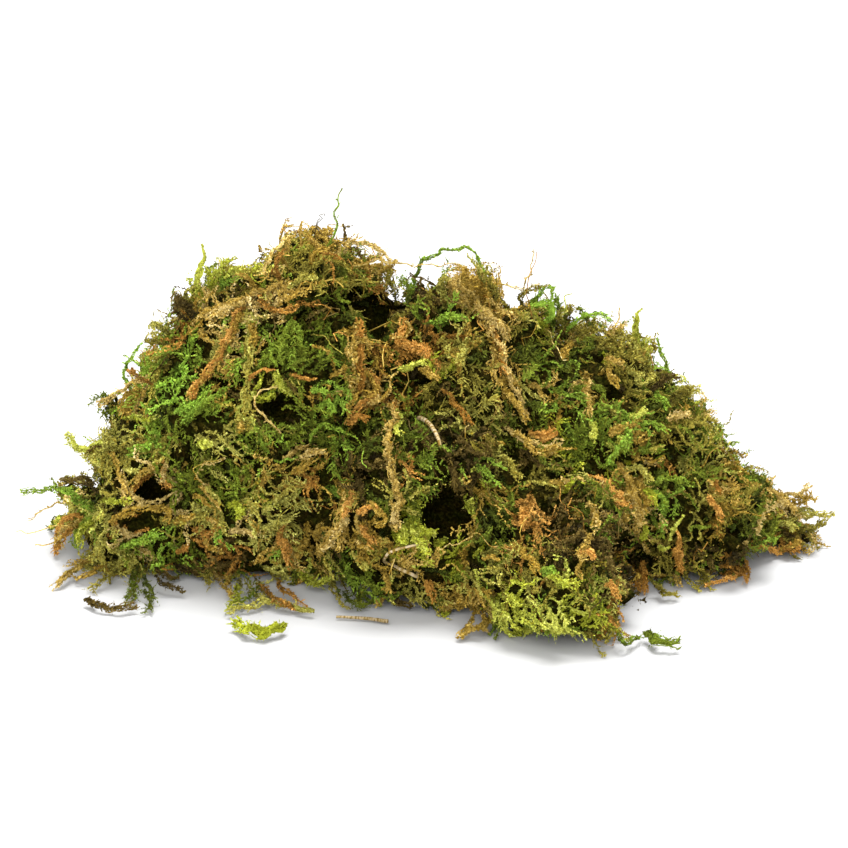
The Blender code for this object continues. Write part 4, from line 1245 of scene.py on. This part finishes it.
def add_strands(shoots, strand, points, face, make_up, rng):
    """Shoots that keep along a few points, with bends of their own."""
    look, kind = strand[:2]
    shoot_count, size, shade = make_up
    slot, bottom, top = LOOKS[look]
    count = KINDS[kind]["stations"]
    points = np.array(points)
    path = np.arange(len(points))
    for _ in range(1 if kind == "thread" else shoot_count):
        share = np.linspace(rng.uniform(*STRAND_STARTS), rng.uniform(*STRAND_ENDS), count) * path[-1]
        run = np.stack([np.interp(share, path, points[:, k]) for k in range(3)], axis=1)
        bend = np.sin(share[:, None] * rng.uniform(*STRAND_PACES, 3) + rng.uniform(0, math.tau, 3))
        shoots.add(slot, kind, (run + bend * size, [face] * count), rng.uniform(bottom, top), shade)


def add_strays(shoots, rng):
    """The strands told apart in the picture that trail from the heap's foot over the floor."""
    for strand in STRAYS:
        places = places_along(strand)
        heights = np.linspace(STRAY_ROOT, STRAY_TIP, len(places))
        points = [floor_point(place, height) for place, height in zip(places, heights)]
        add_strands(shoots, strand, points, STRAY_FACE, LOOSE, rng)


def add_wisps(shoots, tree, rng):
    """The strands told apart along the picture's outline, each rooted in the heap."""
    for strand in WISPS:
        places = places_along(strand)
        root = tree.ray_cast(EYE, sight(places[0]))[0]
        depth = (root - EYE).dot(FORWARD)
        points = [depth_point(place, depth + WISP_OUT) for place in places]
        points[0] = depth_point(places[0], depth + WISP_ROOT)
        add_strands(shoots, strand, points, -FORWARD, LOOSE, rng)


def laid_paths(tree):
    """The strands told apart inside the picture's outline, each with its points over the heap."""
    found = []
    for strand in LAID:
        points, before = [], None
        for place in places_along(strand):
            hit = tree.ray_cast(EYE, sight(place))[0]
            if hit is None:
                continue
            depth = (hit - EYE).dot(FORWARD)
            if before is not None:
                depth = min(max(depth, before - LAID_STEP), before + LAID_STEP)
            before = depth
            points.append(depth_point(place, depth - LAID_HEIGHT))
        if len(points) > 1:
            found.append((strand, points))
    return found


def add_threads(shoots, ground, points, normals, rng):
    """Thin bare stems that wander over the heap, more of them on its crest."""
    crest = np.flatnonzero(points[:, 2] > CREST_HEIGHT)[:CREST_THREADS]
    for k in [*range(-THREADS, 0), *crest]:
        point, normal = Vector(points[k]), Vector(normals[k])
        slot, low, high = LOOKS[str(rng.choice(THREAD_LOOKS))]
        way = any_way(normal, rng)
        base, lift = rng.uniform(*THREAD_HEIGHTS) * MM, rng.uniform(*THREAD_LIFTS) * MM
        run = creep(ground, point, normal, way, KINDS["thread"], base, lift, rng)
        shoots.add(slot, "thread", run, rng.uniform(low, high), THREAD_SHADE)


# ---- single fronds, stems and twigs ----

# Reading a solid strip: places nearer than this are one, its middle line has a point in each bin, and its
# half width is this percentile of those along it
WELD = 0.01 * MM
SINGLE_BIN = 2.6 * MM
LEAST_BINS = 4
WIDTH_RANK = 60

# Its run: how far apart its stations are, bends of its own, how deep its root is, how high a scrap lies
# and the way it faces, and how much blades and fronds turn to the eye
SINGLE_STATION = 1.0 * MM
LEAST_STATIONS = 8
WANDER_WAVES = (4.5 * MM, 8 * MM)
WANDER_VARIES = (0.8, 1.2)
WANDER = 0.055
WANDER_ENDS = 3 * MM
SINGLE_ROOT = 2 * MM
SCRAP_LIFT = 0.8 * MM
SCRAP_FACE = (0, -1.0, 0.8)
BLADE_TURN, FROND_TURN = 2.5, 0.5

# Twigs: their bulk, and the least radius
TWIG_BULK = 0.8
TWIG_LEAST = 0.5 * MM
TWIG_TUBE = dict(sides=7, taper=0.35)

# Stems: two strands, and leaves and buds in proportion to the half width in millimetres (start and slope)
STEM_SPREAD = 0.5
STEM_BULK = 0.45
STEM_TUBE = dict(sides=4, taper=0.5)
STEM_LEAF = ((0.3, 0.4), (0.7, 0.4), (0, 0.3), (0.15, 0.8))
STEM_LEAF_EVERY = 1.1 * MM
STEM_LEAST_LEAVES = 6
BUD_EVERY = 3 * MM
BUD_LENGTH = 0.7 * MM
LEAST_BUDS = 3
BUD_LEAVES = 3

# Blades: one broad strip under the rest
BLADE_WIDTH = 0.9
BLADE = dict(columns=7, arch=0.3, crumple=0.12, twist=0.3, point=0.9)

# Horns and fronds: strands set with flakes, and on fronds also leaves, fibres and side shoots
SWAY_LENGTH = 18 * MM
FLAKE_EVERY = 0.2 * MM
HORN_SPREAD = 0.2
STRAND_EVERY = 0.45 * MM
FROND_SPREAD = 0.65
FROND_LEAF = (0.6, 1.0, 0.3, 0.8)
FROND_LEAF_EVERY = 1.6 * MM
FIBRE_SPREAD = 0.9
FIBRE_HALF = 0.17 * MM
FIBRE = dict(columns=2, arch=0.45, crumple=0.5, twist=1, point=0)
SIDE_EVERY = 2.2 * MM
SIDE_REACH, SIDE_LEAST = 0.9, 0.5 * MM
LEAST_LEAVES = 4


def welded(mesh):
    """The mesh's places, each once, and the lengths of the edges between them."""
    index, places, links, own = {}, [], [], []
    for vert in mesh.vertices:
        key = tuple(round(c / WELD) for c in vert.co)
        if key not in index:
            index[key] = len(places)
            places.append(vert.co.copy())
            links.append({})
        own.append(index[key])
    for edge in mesh.edges:
        one, two = (own[v] for v in edge.vertices)
        links[one][two] = links[two][one] = (places[one] - places[two]).length
    return places, links


def walked(links, start):
    """How far each place is from the start along the edges."""
    far = [math.inf] * len(links)
    far[start] = 0
    heap = [(0, start)]
    while heap:
        distance, place = heapq.heappop(heap)
        for other, step in links[place].items():
            if distance + step < far[other]:
                far[other] = distance + step
                heapq.heappush(heap, (far[other], other))
    return far


def middle_run(mesh):
    """The middle line of a solid strip, and its half width."""
    places, links = welded(mesh)
    start = int(np.argmax(walked(links, 0)))
    from_start = walked(links, start)
    end = int(np.argmax(from_start))
    from_end = walked(links, end)
    share = (np.array(from_start) - np.array(from_end)) / (2 * from_start[end]) + 0.5
    count = max(LEAST_BINS, round(from_start[end] / SINGLE_BIN))
    middles, rings = [], []
    for k in range(count):
        inside = (share >= k / count) & (share <= (k + 1) / count)
        if inside.any():
            near = np.array([places[i] for i in np.flatnonzero(inside)])
            middles.append((near.min(axis=0) + near.max(axis=0)) / 2)
            rings.append(near)
    middles = np.array([places[start], *middles, places[end]])
    halves = []
    for k, ring in enumerate(rings, 1):
        along = unit(middles[k + 1] - middles[k - 1])
        off = ring - middles[k]
        off = off - np.outer(off @ along, along)
        halves.append(np.linalg.norm(off, axis=1).max())
    return middles, float(np.percentile(halves, WIDTH_RANK))


def even(points, spacing):
    """The run with its points an even distance apart, and softened."""
    for _ in range(2):
        points[1:-1] = (points[:-2] + points[1:-1] * 2 + points[2:]) / 4
    gone = np.concatenate([[0], np.cumsum(np.linalg.norm(np.diff(points, axis=0), axis=1))])
    goals = np.linspace(0, gone[-1], max(LEAST_STATIONS, round(gone[-1] / spacing)))
    return np.stack([np.interp(goals, gone, points[:, k]) for k in range(3)], axis=1)


def wandering(points, rng):
    """The run with small bends of its own, none at its ends."""
    count = len(points)
    gone = np.arange(count) * SINGLE_STATION
    off = np.zeros((count, 3))
    for wave in WANDER_WAVES:
        phase = rng.uniform(0, math.tau, 3)
        pace = gone[:, None] * math.tau / wave * rng.uniform(*WANDER_VARIES, 3)
        off += np.sin(pace + phase) * wave * WANDER
    return points + off * np.minimum(1, np.minimum(gone, gone[::-1]) / WANDER_ENDS)[:, None]


def single_run(name, mesh, tree, rng):
    """A single piece's middle line from its root, the way it faces, and its half width."""
    points, half = middle_run(mesh)
    off = [(Vector(p) - tree.find_nearest(Vector(p))[0]).length for p in (points[0], points[-1])]
    if off[0] > off[1]:
        points = points[::-1].copy()
    points = even(points, SINGLE_STATION)
    if name not in TWIGS:
        points = wandering(points, rng)
    if name in SCRAPS:
        lift = (0, 0, 0 if name in TWIGS else SCRAP_LIFT)
        return points + lift, np.tile(SCRAP_FACE, (len(points), 1)), half
    near, out = tree.find_nearest(Vector(points[0]))[:2]
    points = np.vstack([near - out * SINGLE_ROOT, points])
    turn = BLADE_TURN if name in BLADES else FROND_TURN
    facing = np.array([tree.find_nearest(Vector(p))[1] - FORWARD * turn for p in points])
    return points, facing, half


def fitted(length, each, least):
    """How many fit along a length, and at least a few."""
    return max(least, int(length / each))


def dress_stem(runs, half, length, rng):
    """What grows along a stem: two thin tubes, small leaves and buds."""
    width = half / MM
    leaf = [start + slope * width for start, slope in STEM_LEAF]
    fine = bundles(runs, 2, half * STEM_SPREAD, rng)
    parts = [tubes(fine, half * STEM_BULK, **STEM_TUBE)]
    parts.append(leaf_rows(runs, fitted(length, STEM_LEAF_EVERY, STEM_LEAST_LEAVES), ROUND, leaf, rng))
    buds = side_shoots(runs, fitted(length, BUD_EVERY, LEAST_BUDS), BUD_LENGTH + half, rng)
    parts.append(leaf_rows(buds, BUD_LEAVES, OUTSIDE, FINE_LEAF, rng))
    return joined(parts)


def dress(name, run, tone, rng):
    """What grows along a single piece: corners and chart places."""
    points, facing, half = run
    shade = TOLD_SHADES.get(name, SINGLE_SHADE)
    runs = Runs(points[None], facing[None], np.array([tone]), np.array([shade]))
    length = float(runs.length()[0])
    if name in TWIGS:
        return tubes(runs, max(half * TWIG_BULK, TWIG_LEAST), **TWIG_TUBE)
    if name in STEMS:
        return dress_stem(runs, half, length, rng)
    parts = []
    sway = max(1, length / SWAY_LENGTH)
    flake_count = int(length / FLAKE_EVERY)
    half *= BULK.get(name, 1)
    if name in BLADES:
        parts.append(strips(runs, half * BLADE_WIDTH, rng, **BLADE))
    if name in HORNS:
        strands = bundles(runs, 2, half * HORN_SPREAD, rng, sway)
        parts.append(flakes(strands, flake_count, FLAKE, rng))
        return joined(parts)
    strands = bundles(runs, max(2, round(half / STRAND_EVERY)), half * FROND_SPREAD, rng, sway)
    parts.append(flakes(strands, flake_count, FLAKE, rng))
    leaf_count = fitted(length, FROND_LEAF_EVERY, LEAST_LEAVES)
    parts.append(leaf_rows(strands, leaf_count, ROUND, FROND_LEAF, rng))
    fine = bundles(runs, 2, half * FIBRE_SPREAD, rng, sway)
    parts.append(strips(fine, FIBRE_HALF, rng, **FIBRE))
    reach = half * SIDE_REACH + SIDE_LEAST
    sides = side_shoots(strands, fitted(length, SIDE_EVERY, LEAST_LEAVES), reach, rng)
    parts.append(leaf_rows(sides, max(LEAST_LEAVES, round(half / STRAND_EVERY)), OUTSIDE, FINE_LEAF, rng))
    return joined(parts)


def add_singles(frame, runs, materials, rng):
    """Each single frond, stem and twig in place of its solid."""
    slots = {part["node"]: part["material_slot"] for part in frame["record"]["subparts"]}
    for name, run in sorted(runs.items()):
        tone = TOLD_TONES.get(name, rng.uniform(*SINGLE_TONE))
        corners, chart = dress(name, run, tone, rng)
        piece = mesh_object(name + "_moss", corners, chart, materials[slots[name]])
        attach(piece, "root")
        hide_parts(name)


# ---- materials ----

# Each kind of moss: its colours along the tone, at the root and at the tip, as seen on a screen
# The dark roots and light tips are partly the moss's own colours and partly painted shade and painted light
CHARTS = {
    "tan_moss": (
        ((92, 76, 16), (124, 103, 28), (154, 132, 54)),
        ((188, 157, 58), (222, 192, 102), (250, 230, 168)),
    ),
    "rust_moss": (
        ((78, 56, 14), (106, 80, 24), (136, 102, 38)),
        ((180, 134, 60), (222, 168, 86), (248, 194, 110)),
    ),
    "olive_moss": (
        ((43, 41, 8), (67, 65, 14), (95, 94, 24)),
        ((152, 140, 52), (196, 187, 88), (226, 226, 126)),
    ),
    "lime_moss": (
        ((75, 80, 6), (103, 110, 10), (133, 142, 22)),
        ((178, 190, 48), (214, 226, 82), (240, 248, 134)),
    ),
    "green_moss": (
        ((26, 33, 8), (52, 63, 14), (72, 93, 18)),
        ((106, 115, 36), (150, 171, 60), (178, 224, 90)),
    ),
    "dark_moss": (
        ((28, 25, 10), (45, 39, 15), (60, 50, 21)),
        ((82, 70, 34), (114, 97, 48), (148, 128, 70)),
    ),
    "bark": (
        ((70, 60, 42), (100, 86, 62), (150, 134, 104)),
        ((112, 96, 72), (150, 132, 104), (210, 190, 156)),
    ),
}
CHART_EDGE = 0.002
ROUGHNESS = (0.95, 0.7)
MOSS_SPECULAR = 0.12
MOTTLE_SCALE = 42
MOTTLE_DETAIL = 2
MOTTLE_TONES = ((166, 146, 76), (228, 224, 194), (255, 255, 255))
MOTTLE_RANGE = (0.42, 0.58)

# The core: its broad patches and its fine grain, in dark tones that are painted shade between the shoots
CORE_ROUGHNESS = 0.95
CORE_SPECULAR = 0.02
CORE_BROAD_SCALE = 260
CORE_FINE_SCALE = 900
CORE_FINE_DETAIL = 3
CORE_PAINTED_SHADE_TONES = ((24, 20, 4), (60, 49, 14), (46, 50, 11), (112, 94, 38))
CORE_GRAIN = ((30, 30, 30), (150, 150, 150), (255, 255, 255))
CORE_GRAIN_RANGE = (0.3, 0.7)
CORE_GRAIN_SHARE = 0.9
CORE_BUMP = 1 * MM


def linear(colour):
    """A screen colour as light."""
    return [*(((c / 255 + 0.055) / 1.055) ** 2.4 if c > 10 else c / 255 / 12.92 for c in colour), 1]


def ramp(tree, colours, factor, start=0.0, end=1.0):
    """An even run of colours from start to end."""
    node = tree.nodes.new("ShaderNodeValToRGB")
    for k, element in enumerate(node.color_ramp.elements):
        element.position = (start, end)[k]
        element.color = linear((colours[0], colours[-1])[k])
    for k in range(1, len(colours) - 1):
        place = start + (end - start) * k / (len(colours) - 1)
        node.color_ramp.elements.new(place).color = linear(colours[k])
    tree.links.new(factor, node.inputs["Fac"])
    return node.outputs["Color"]


def mixed(tree, blend, factor, one, two):
    """Two colours mixed."""
    node = tree.nodes.new("ShaderNodeMix")
    node.data_type = "RGBA"
    node.blend_type = blend
    node.clamp_factor = True
    for name, value in (("Factor", factor), ("A", one), ("B", two)):
        socket = next(s for s in node.inputs if s.name == name and s.enabled)
        if isinstance(value, bpy.types.NodeSocket):
            tree.links.new(value, socket)
        else:
            socket.default_value = value
    return next(s for s in node.outputs if s.enabled)


def noise_at(tree, where, scale, detail):
    """Noise of a scale and detail over a place."""
    node = tree.nodes.new("ShaderNodeTexNoise")
    node.inputs["Scale"].default_value = scale
    node.inputs["Detail"].default_value = detail
    tree.links.new(where, node.inputs["Vector"])
    return node.outputs["Fac"]


def plain_material(name, roughness, specular):
    """A new material's tree and its shader."""
    made = bpy.data.materials.new(name)
    made.use_nodes = True
    shader = made.node_tree.nodes["Principled BSDF"]
    shader.inputs["Roughness"].default_value = roughness
    shader.inputs["Specular IOR Level"].default_value = specular
    return made, made.node_tree, shader


def moss_material(slot):
    """Dry moss, coloured by its place on the chart, with a fine mottle."""
    made, tree, shader = plain_material(slot + "_finish", ROUGHNESS[0], MOSS_SPECULAR)
    chart = tree.nodes.new("ShaderNodeUVMap")
    chart.uv_map = CHART
    parts = tree.nodes.new("ShaderNodeSeparateXYZ")
    tree.links.new(chart.outputs["UV"], parts.inputs["Vector"])
    roots, tips = CHARTS[slot]
    low = ramp(tree, roots, parts.outputs["X"])
    high = ramp(tree, tips, parts.outputs["X"])
    colour = mixed(tree, "MIX", parts.outputs["Y"], low, high)
    noise = noise_at(tree, chart.outputs["UV"], MOTTLE_SCALE, MOTTLE_DETAIL)
    spots = ramp(tree, MOTTLE_TONES, noise, *MOTTLE_RANGE)
    tree.links.new(mixed(tree, "MULTIPLY", 1.0, colour, spots), shader.inputs["Base Color"])
    dull = tree.nodes.new("ShaderNodeMapRange")
    dull.inputs["To Min"].default_value, dull.inputs["To Max"].default_value = ROUGHNESS
    tree.links.new(noise, dull.inputs["Value"])
    tree.links.new(dull.outputs["Result"], shader.inputs["Roughness"])
    return made


def core_material():
    """The matted inside of the heap, seen only between the shoots, painted near black as the shade between
    them.
    """
    made, tree, shader = plain_material("core_painted_shade_finish", CORE_ROUGHNESS, CORE_SPECULAR)
    where = tree.nodes.new("ShaderNodeTexCoord").outputs["Object"]
    broad = noise_at(tree, where, CORE_BROAD_SCALE, 2)
    fine = noise_at(tree, where, CORE_FINE_SCALE, CORE_FINE_DETAIL)
    patch = ramp(tree, CORE_PAINTED_SHADE_TONES, broad)
    grain = ramp(tree, CORE_GRAIN, fine, *CORE_GRAIN_RANGE)
    colour = mixed(tree, "MULTIPLY", CORE_GRAIN_SHARE, patch, grain)
    tree.links.new(colour, shader.inputs["Base Color"])
    bump = tree.nodes.new("ShaderNodeBump")
    bump.inputs["Strength"].default_value = 1
    bump.inputs["Distance"].default_value = CORE_BUMP
    tree.links.new(fine, bump.inputs["Height"])
    tree.links.new(bump.outputs["Normal"], shader.inputs["Normal"])
    return made


# ---- objects ----

# The core: the grain of its skin, and how far it lies below the heap's
CORE_VOXEL = 3.4 * MM
CORE_INSET = 2.6 * MM
CORE_UNEVEN = 0.35 * MM


def mesh_object(name, corners, chart, material):
    """One object of many small triangles over the ground, each with its chart place."""
    corners[..., 2] = np.maximum(corners[..., 2], GROUND_GAP)
    chart = np.clip(chart, CHART_EDGE, 1 - CHART_EDGE)
    count = len(corners)
    mesh = bpy.data.meshes.new(name)
    mesh.vertices.add(count * 3)
    mesh.loops.add(count * 3)
    mesh.polygons.add(count)
    mesh.vertices.foreach_set("co", np.ascontiguousarray(corners, dtype=np.float32).ravel())
    mesh.loops.foreach_set("vertex_index", np.arange(count * 3, dtype=np.int32))
    mesh.polygons.foreach_set("loop_start", np.arange(0, count * 3, 3, dtype=np.int32))
    layer = mesh.uv_layers.new(name=CHART)
    layer.data.foreach_set("uv", np.ascontiguousarray(chart, dtype=np.float32).ravel())
    mesh.update(calc_edges=True)
    mesh.materials.append(material)
    made = bpy.data.objects.new(name, mesh)
    bpy.context.scene.collection.objects.link(made)
    return made


def kept_clear(laid, runs):
    """The points that shoots keep below: all along the single pieces and the laid strands."""
    found = [Vector(p) for points, _, _ in runs.values() for p in points]
    for _, path in laid:
        for one, two in zip(path, path[1:]):
            found += [one.lerp(two, share) + FORWARD * LAID_ROOM for share in LAID_SHARES]
    tree = KDTree(len(found))
    for k, point in enumerate(found):
        tree.insert(point, k)
    tree.balance()
    return tree


def add_heap(frame, tree, runs, materials, rng):
    """The shoots of the whole heap, in pieces by colour."""
    laid = laid_paths(tree)
    ground = tree, kept_clear(laid, runs)
    points, normals = scattered(frame["nodes"]["moss_mound"].data, rng)
    shoots = Shoots()
    beds = Beds(points, rng)
    add_tufts(shoots, ground, beds, points, normals, rng)
    add_mats(shoots, ground, beds, points, normals, rng)
    add_fringe(shoots, ground, points, normals, rng)
    add_strays(shoots, rng)
    add_wisps(shoots, tree, rng)
    for strand, path in laid:
        add_strands(shoots, strand, path, -FORWARD, CLOSE, rng)
    add_threads(shoots, ground, points, normals, rng)
    for slot, (corners, chart) in shoots.grown(rng).items():
        pieces = -(-len(corners) // MOST_TRIANGLES)
        for k in range(pieces):
            part = slice(k * len(corners) // pieces, (k + 1) * len(corners) // pieces)
            piece = mesh_object(f"{slot}_shoots_{k + 1}", corners[part], chart[part], materials[slot])
            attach(piece, "root")


def add_core(frame, tree):
    """The matted inside, a little below the heap's surface, dark with painted shade."""
    mound = frame["nodes"]["moss_mound"]
    core = bpy.data.objects.new("core_painted_shade", mound.data.copy())
    bpy.context.scene.collection.objects.link(core)
    skin = core.modifiers.new("even", "REMESH")
    skin.mode = "VOXEL"
    skin.voxel_size = CORE_VOXEL
    shrink = core.modifiers.new("inset", "DISPLACE")
    shrink.strength = -CORE_INSET
    shrink.mid_level = 0
    bpy.context.view_layer.update()
    graph = bpy.context.evaluated_depsgraph_get()
    mesh = bpy.data.meshes.new_from_object(core.evaluated_get(graph))
    core.modifiers.clear()
    core.data = mesh
    rng = np.random.default_rng(SEED + 1)
    count = len(mesh.vertices)
    places = np.empty(count * 3, dtype=np.float32)
    mesh.vertices.foreach_get("co", places)
    sunk = [vert.normal * sink(tree, vert.co, vert.normal) for vert in mesh.vertices]
    places = places.reshape(-1, 3) - np.array(sunk) + rng.normal(0, CORE_UNEVEN, (count, 3))
    places[:, 2] = np.maximum(places[:, 2], GROUND_GAP)
    mesh.vertices.foreach_set("co", places.astype(np.float32).ravel())
    mesh.materials.clear()
    mesh.materials.append(core_material())
    mesh.update()
    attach(core, "root")
    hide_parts("moss_mound")


# ---- stage ----

# Soft light all round, and lamps: the way to each, its strength, and how wide it is in degrees
SKY_STRENGTH = 1.1
SUNS = (
    ("key", (0.1, 0.25, 1.0), 5.3, 34),
    ("front", (-0.3, -1.0, 0.8), 2.0, 60),
)
FLOOR_HALF = 6
FLOOR_PALE = 0.44
FLOOR_ROUGHNESS = 0.9


def add_stage():
    """A plain pale floor, soft light all round and two wide soft lamps above."""
    scene = bpy.context.scene
    mesh = bpy.data.meshes.new("floor")
    ways = ((-1, -1), (1, -1), (1, 1), (-1, 1))
    mesh.from_pydata([(x * FLOOR_HALF, y * FLOOR_HALF, 0) for x, y in ways], [], [(0, 1, 2, 3)])
    floor = bpy.data.objects.new("floor", mesh)
    scene.collection.objects.link(floor)
    paper = bpy.data.materials.new("paper")
    paper.use_nodes = True
    shader = paper.node_tree.nodes["Principled BSDF"]
    shader.inputs["Base Color"].default_value = (*[FLOOR_PALE] * 3, 1)
    shader.inputs["Roughness"].default_value = FLOOR_ROUGHNESS
    mesh.materials.append(paper)
    world = bpy.data.worlds.new("studio")
    scene.world = world
    world.use_nodes = True
    back = world.node_tree.nodes["Background"]
    back.inputs["Color"].default_value = (1, 1, 1, 1)
    back.inputs["Strength"].default_value = SKY_STRENGTH
    for name, way, strength, angle in SUNS:
        light = bpy.data.lights.new(name, "SUN")
        light.energy = strength
        light.angle = math.radians(angle)
        lamp = bpy.data.objects.new(name, light)
        lamp.location = Vector(way)
        lamp.rotation_euler = Vector(way).to_track_quat("Z", "Y").to_euler()
        scene.collection.objects.link(lamp)
    scene.view_settings.view_transform = "Standard"
    scene.view_settings.look = "None"


def add_camera():
    """The camera at the eye, so that a place is a pixel."""
    camera = bpy.data.cameras.new("camera")
    camera.sensor_width = SENSOR_MM
    camera.lens = SENSOR_MM * EYE_DISTANCE / (FRAME_STEPS * STEP)
    holder = bpy.data.objects.new("camera", camera)
    holder.location = EYE
    holder.rotation_euler = (math.pi / 2 - EYE_ELEVATION, 0, 0)
    bpy.context.scene.collection.objects.link(holder)
    bpy.context.scene.camera = holder


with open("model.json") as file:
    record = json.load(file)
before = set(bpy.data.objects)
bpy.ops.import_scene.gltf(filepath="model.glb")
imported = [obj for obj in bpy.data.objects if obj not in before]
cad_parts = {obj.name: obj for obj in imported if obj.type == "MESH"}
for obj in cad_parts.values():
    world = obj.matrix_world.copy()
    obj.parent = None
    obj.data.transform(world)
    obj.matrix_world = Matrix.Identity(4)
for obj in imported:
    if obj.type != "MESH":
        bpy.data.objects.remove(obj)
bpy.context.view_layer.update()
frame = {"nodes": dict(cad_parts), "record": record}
add_camera()
add_stage()
finishes = {slot: moss_material(slot) for slot in CHARTS}
heap_tree = tree_of(frame["nodes"]["moss_mound"].data)
add_core(frame, heap_tree)
single_runs = {
    name: single_run(name, node.data, heap_tree, np.random.default_rng((SEED, k)))
    for k, (name, node) in enumerate(sorted(frame["nodes"].items()))
    if name != "moss_mound"
}
add_singles(frame, single_runs, finishes, np.random.default_rng(SEED + 2))
add_heap(frame, heap_tree, single_runs, finishes, np.random.default_rng(SEED))
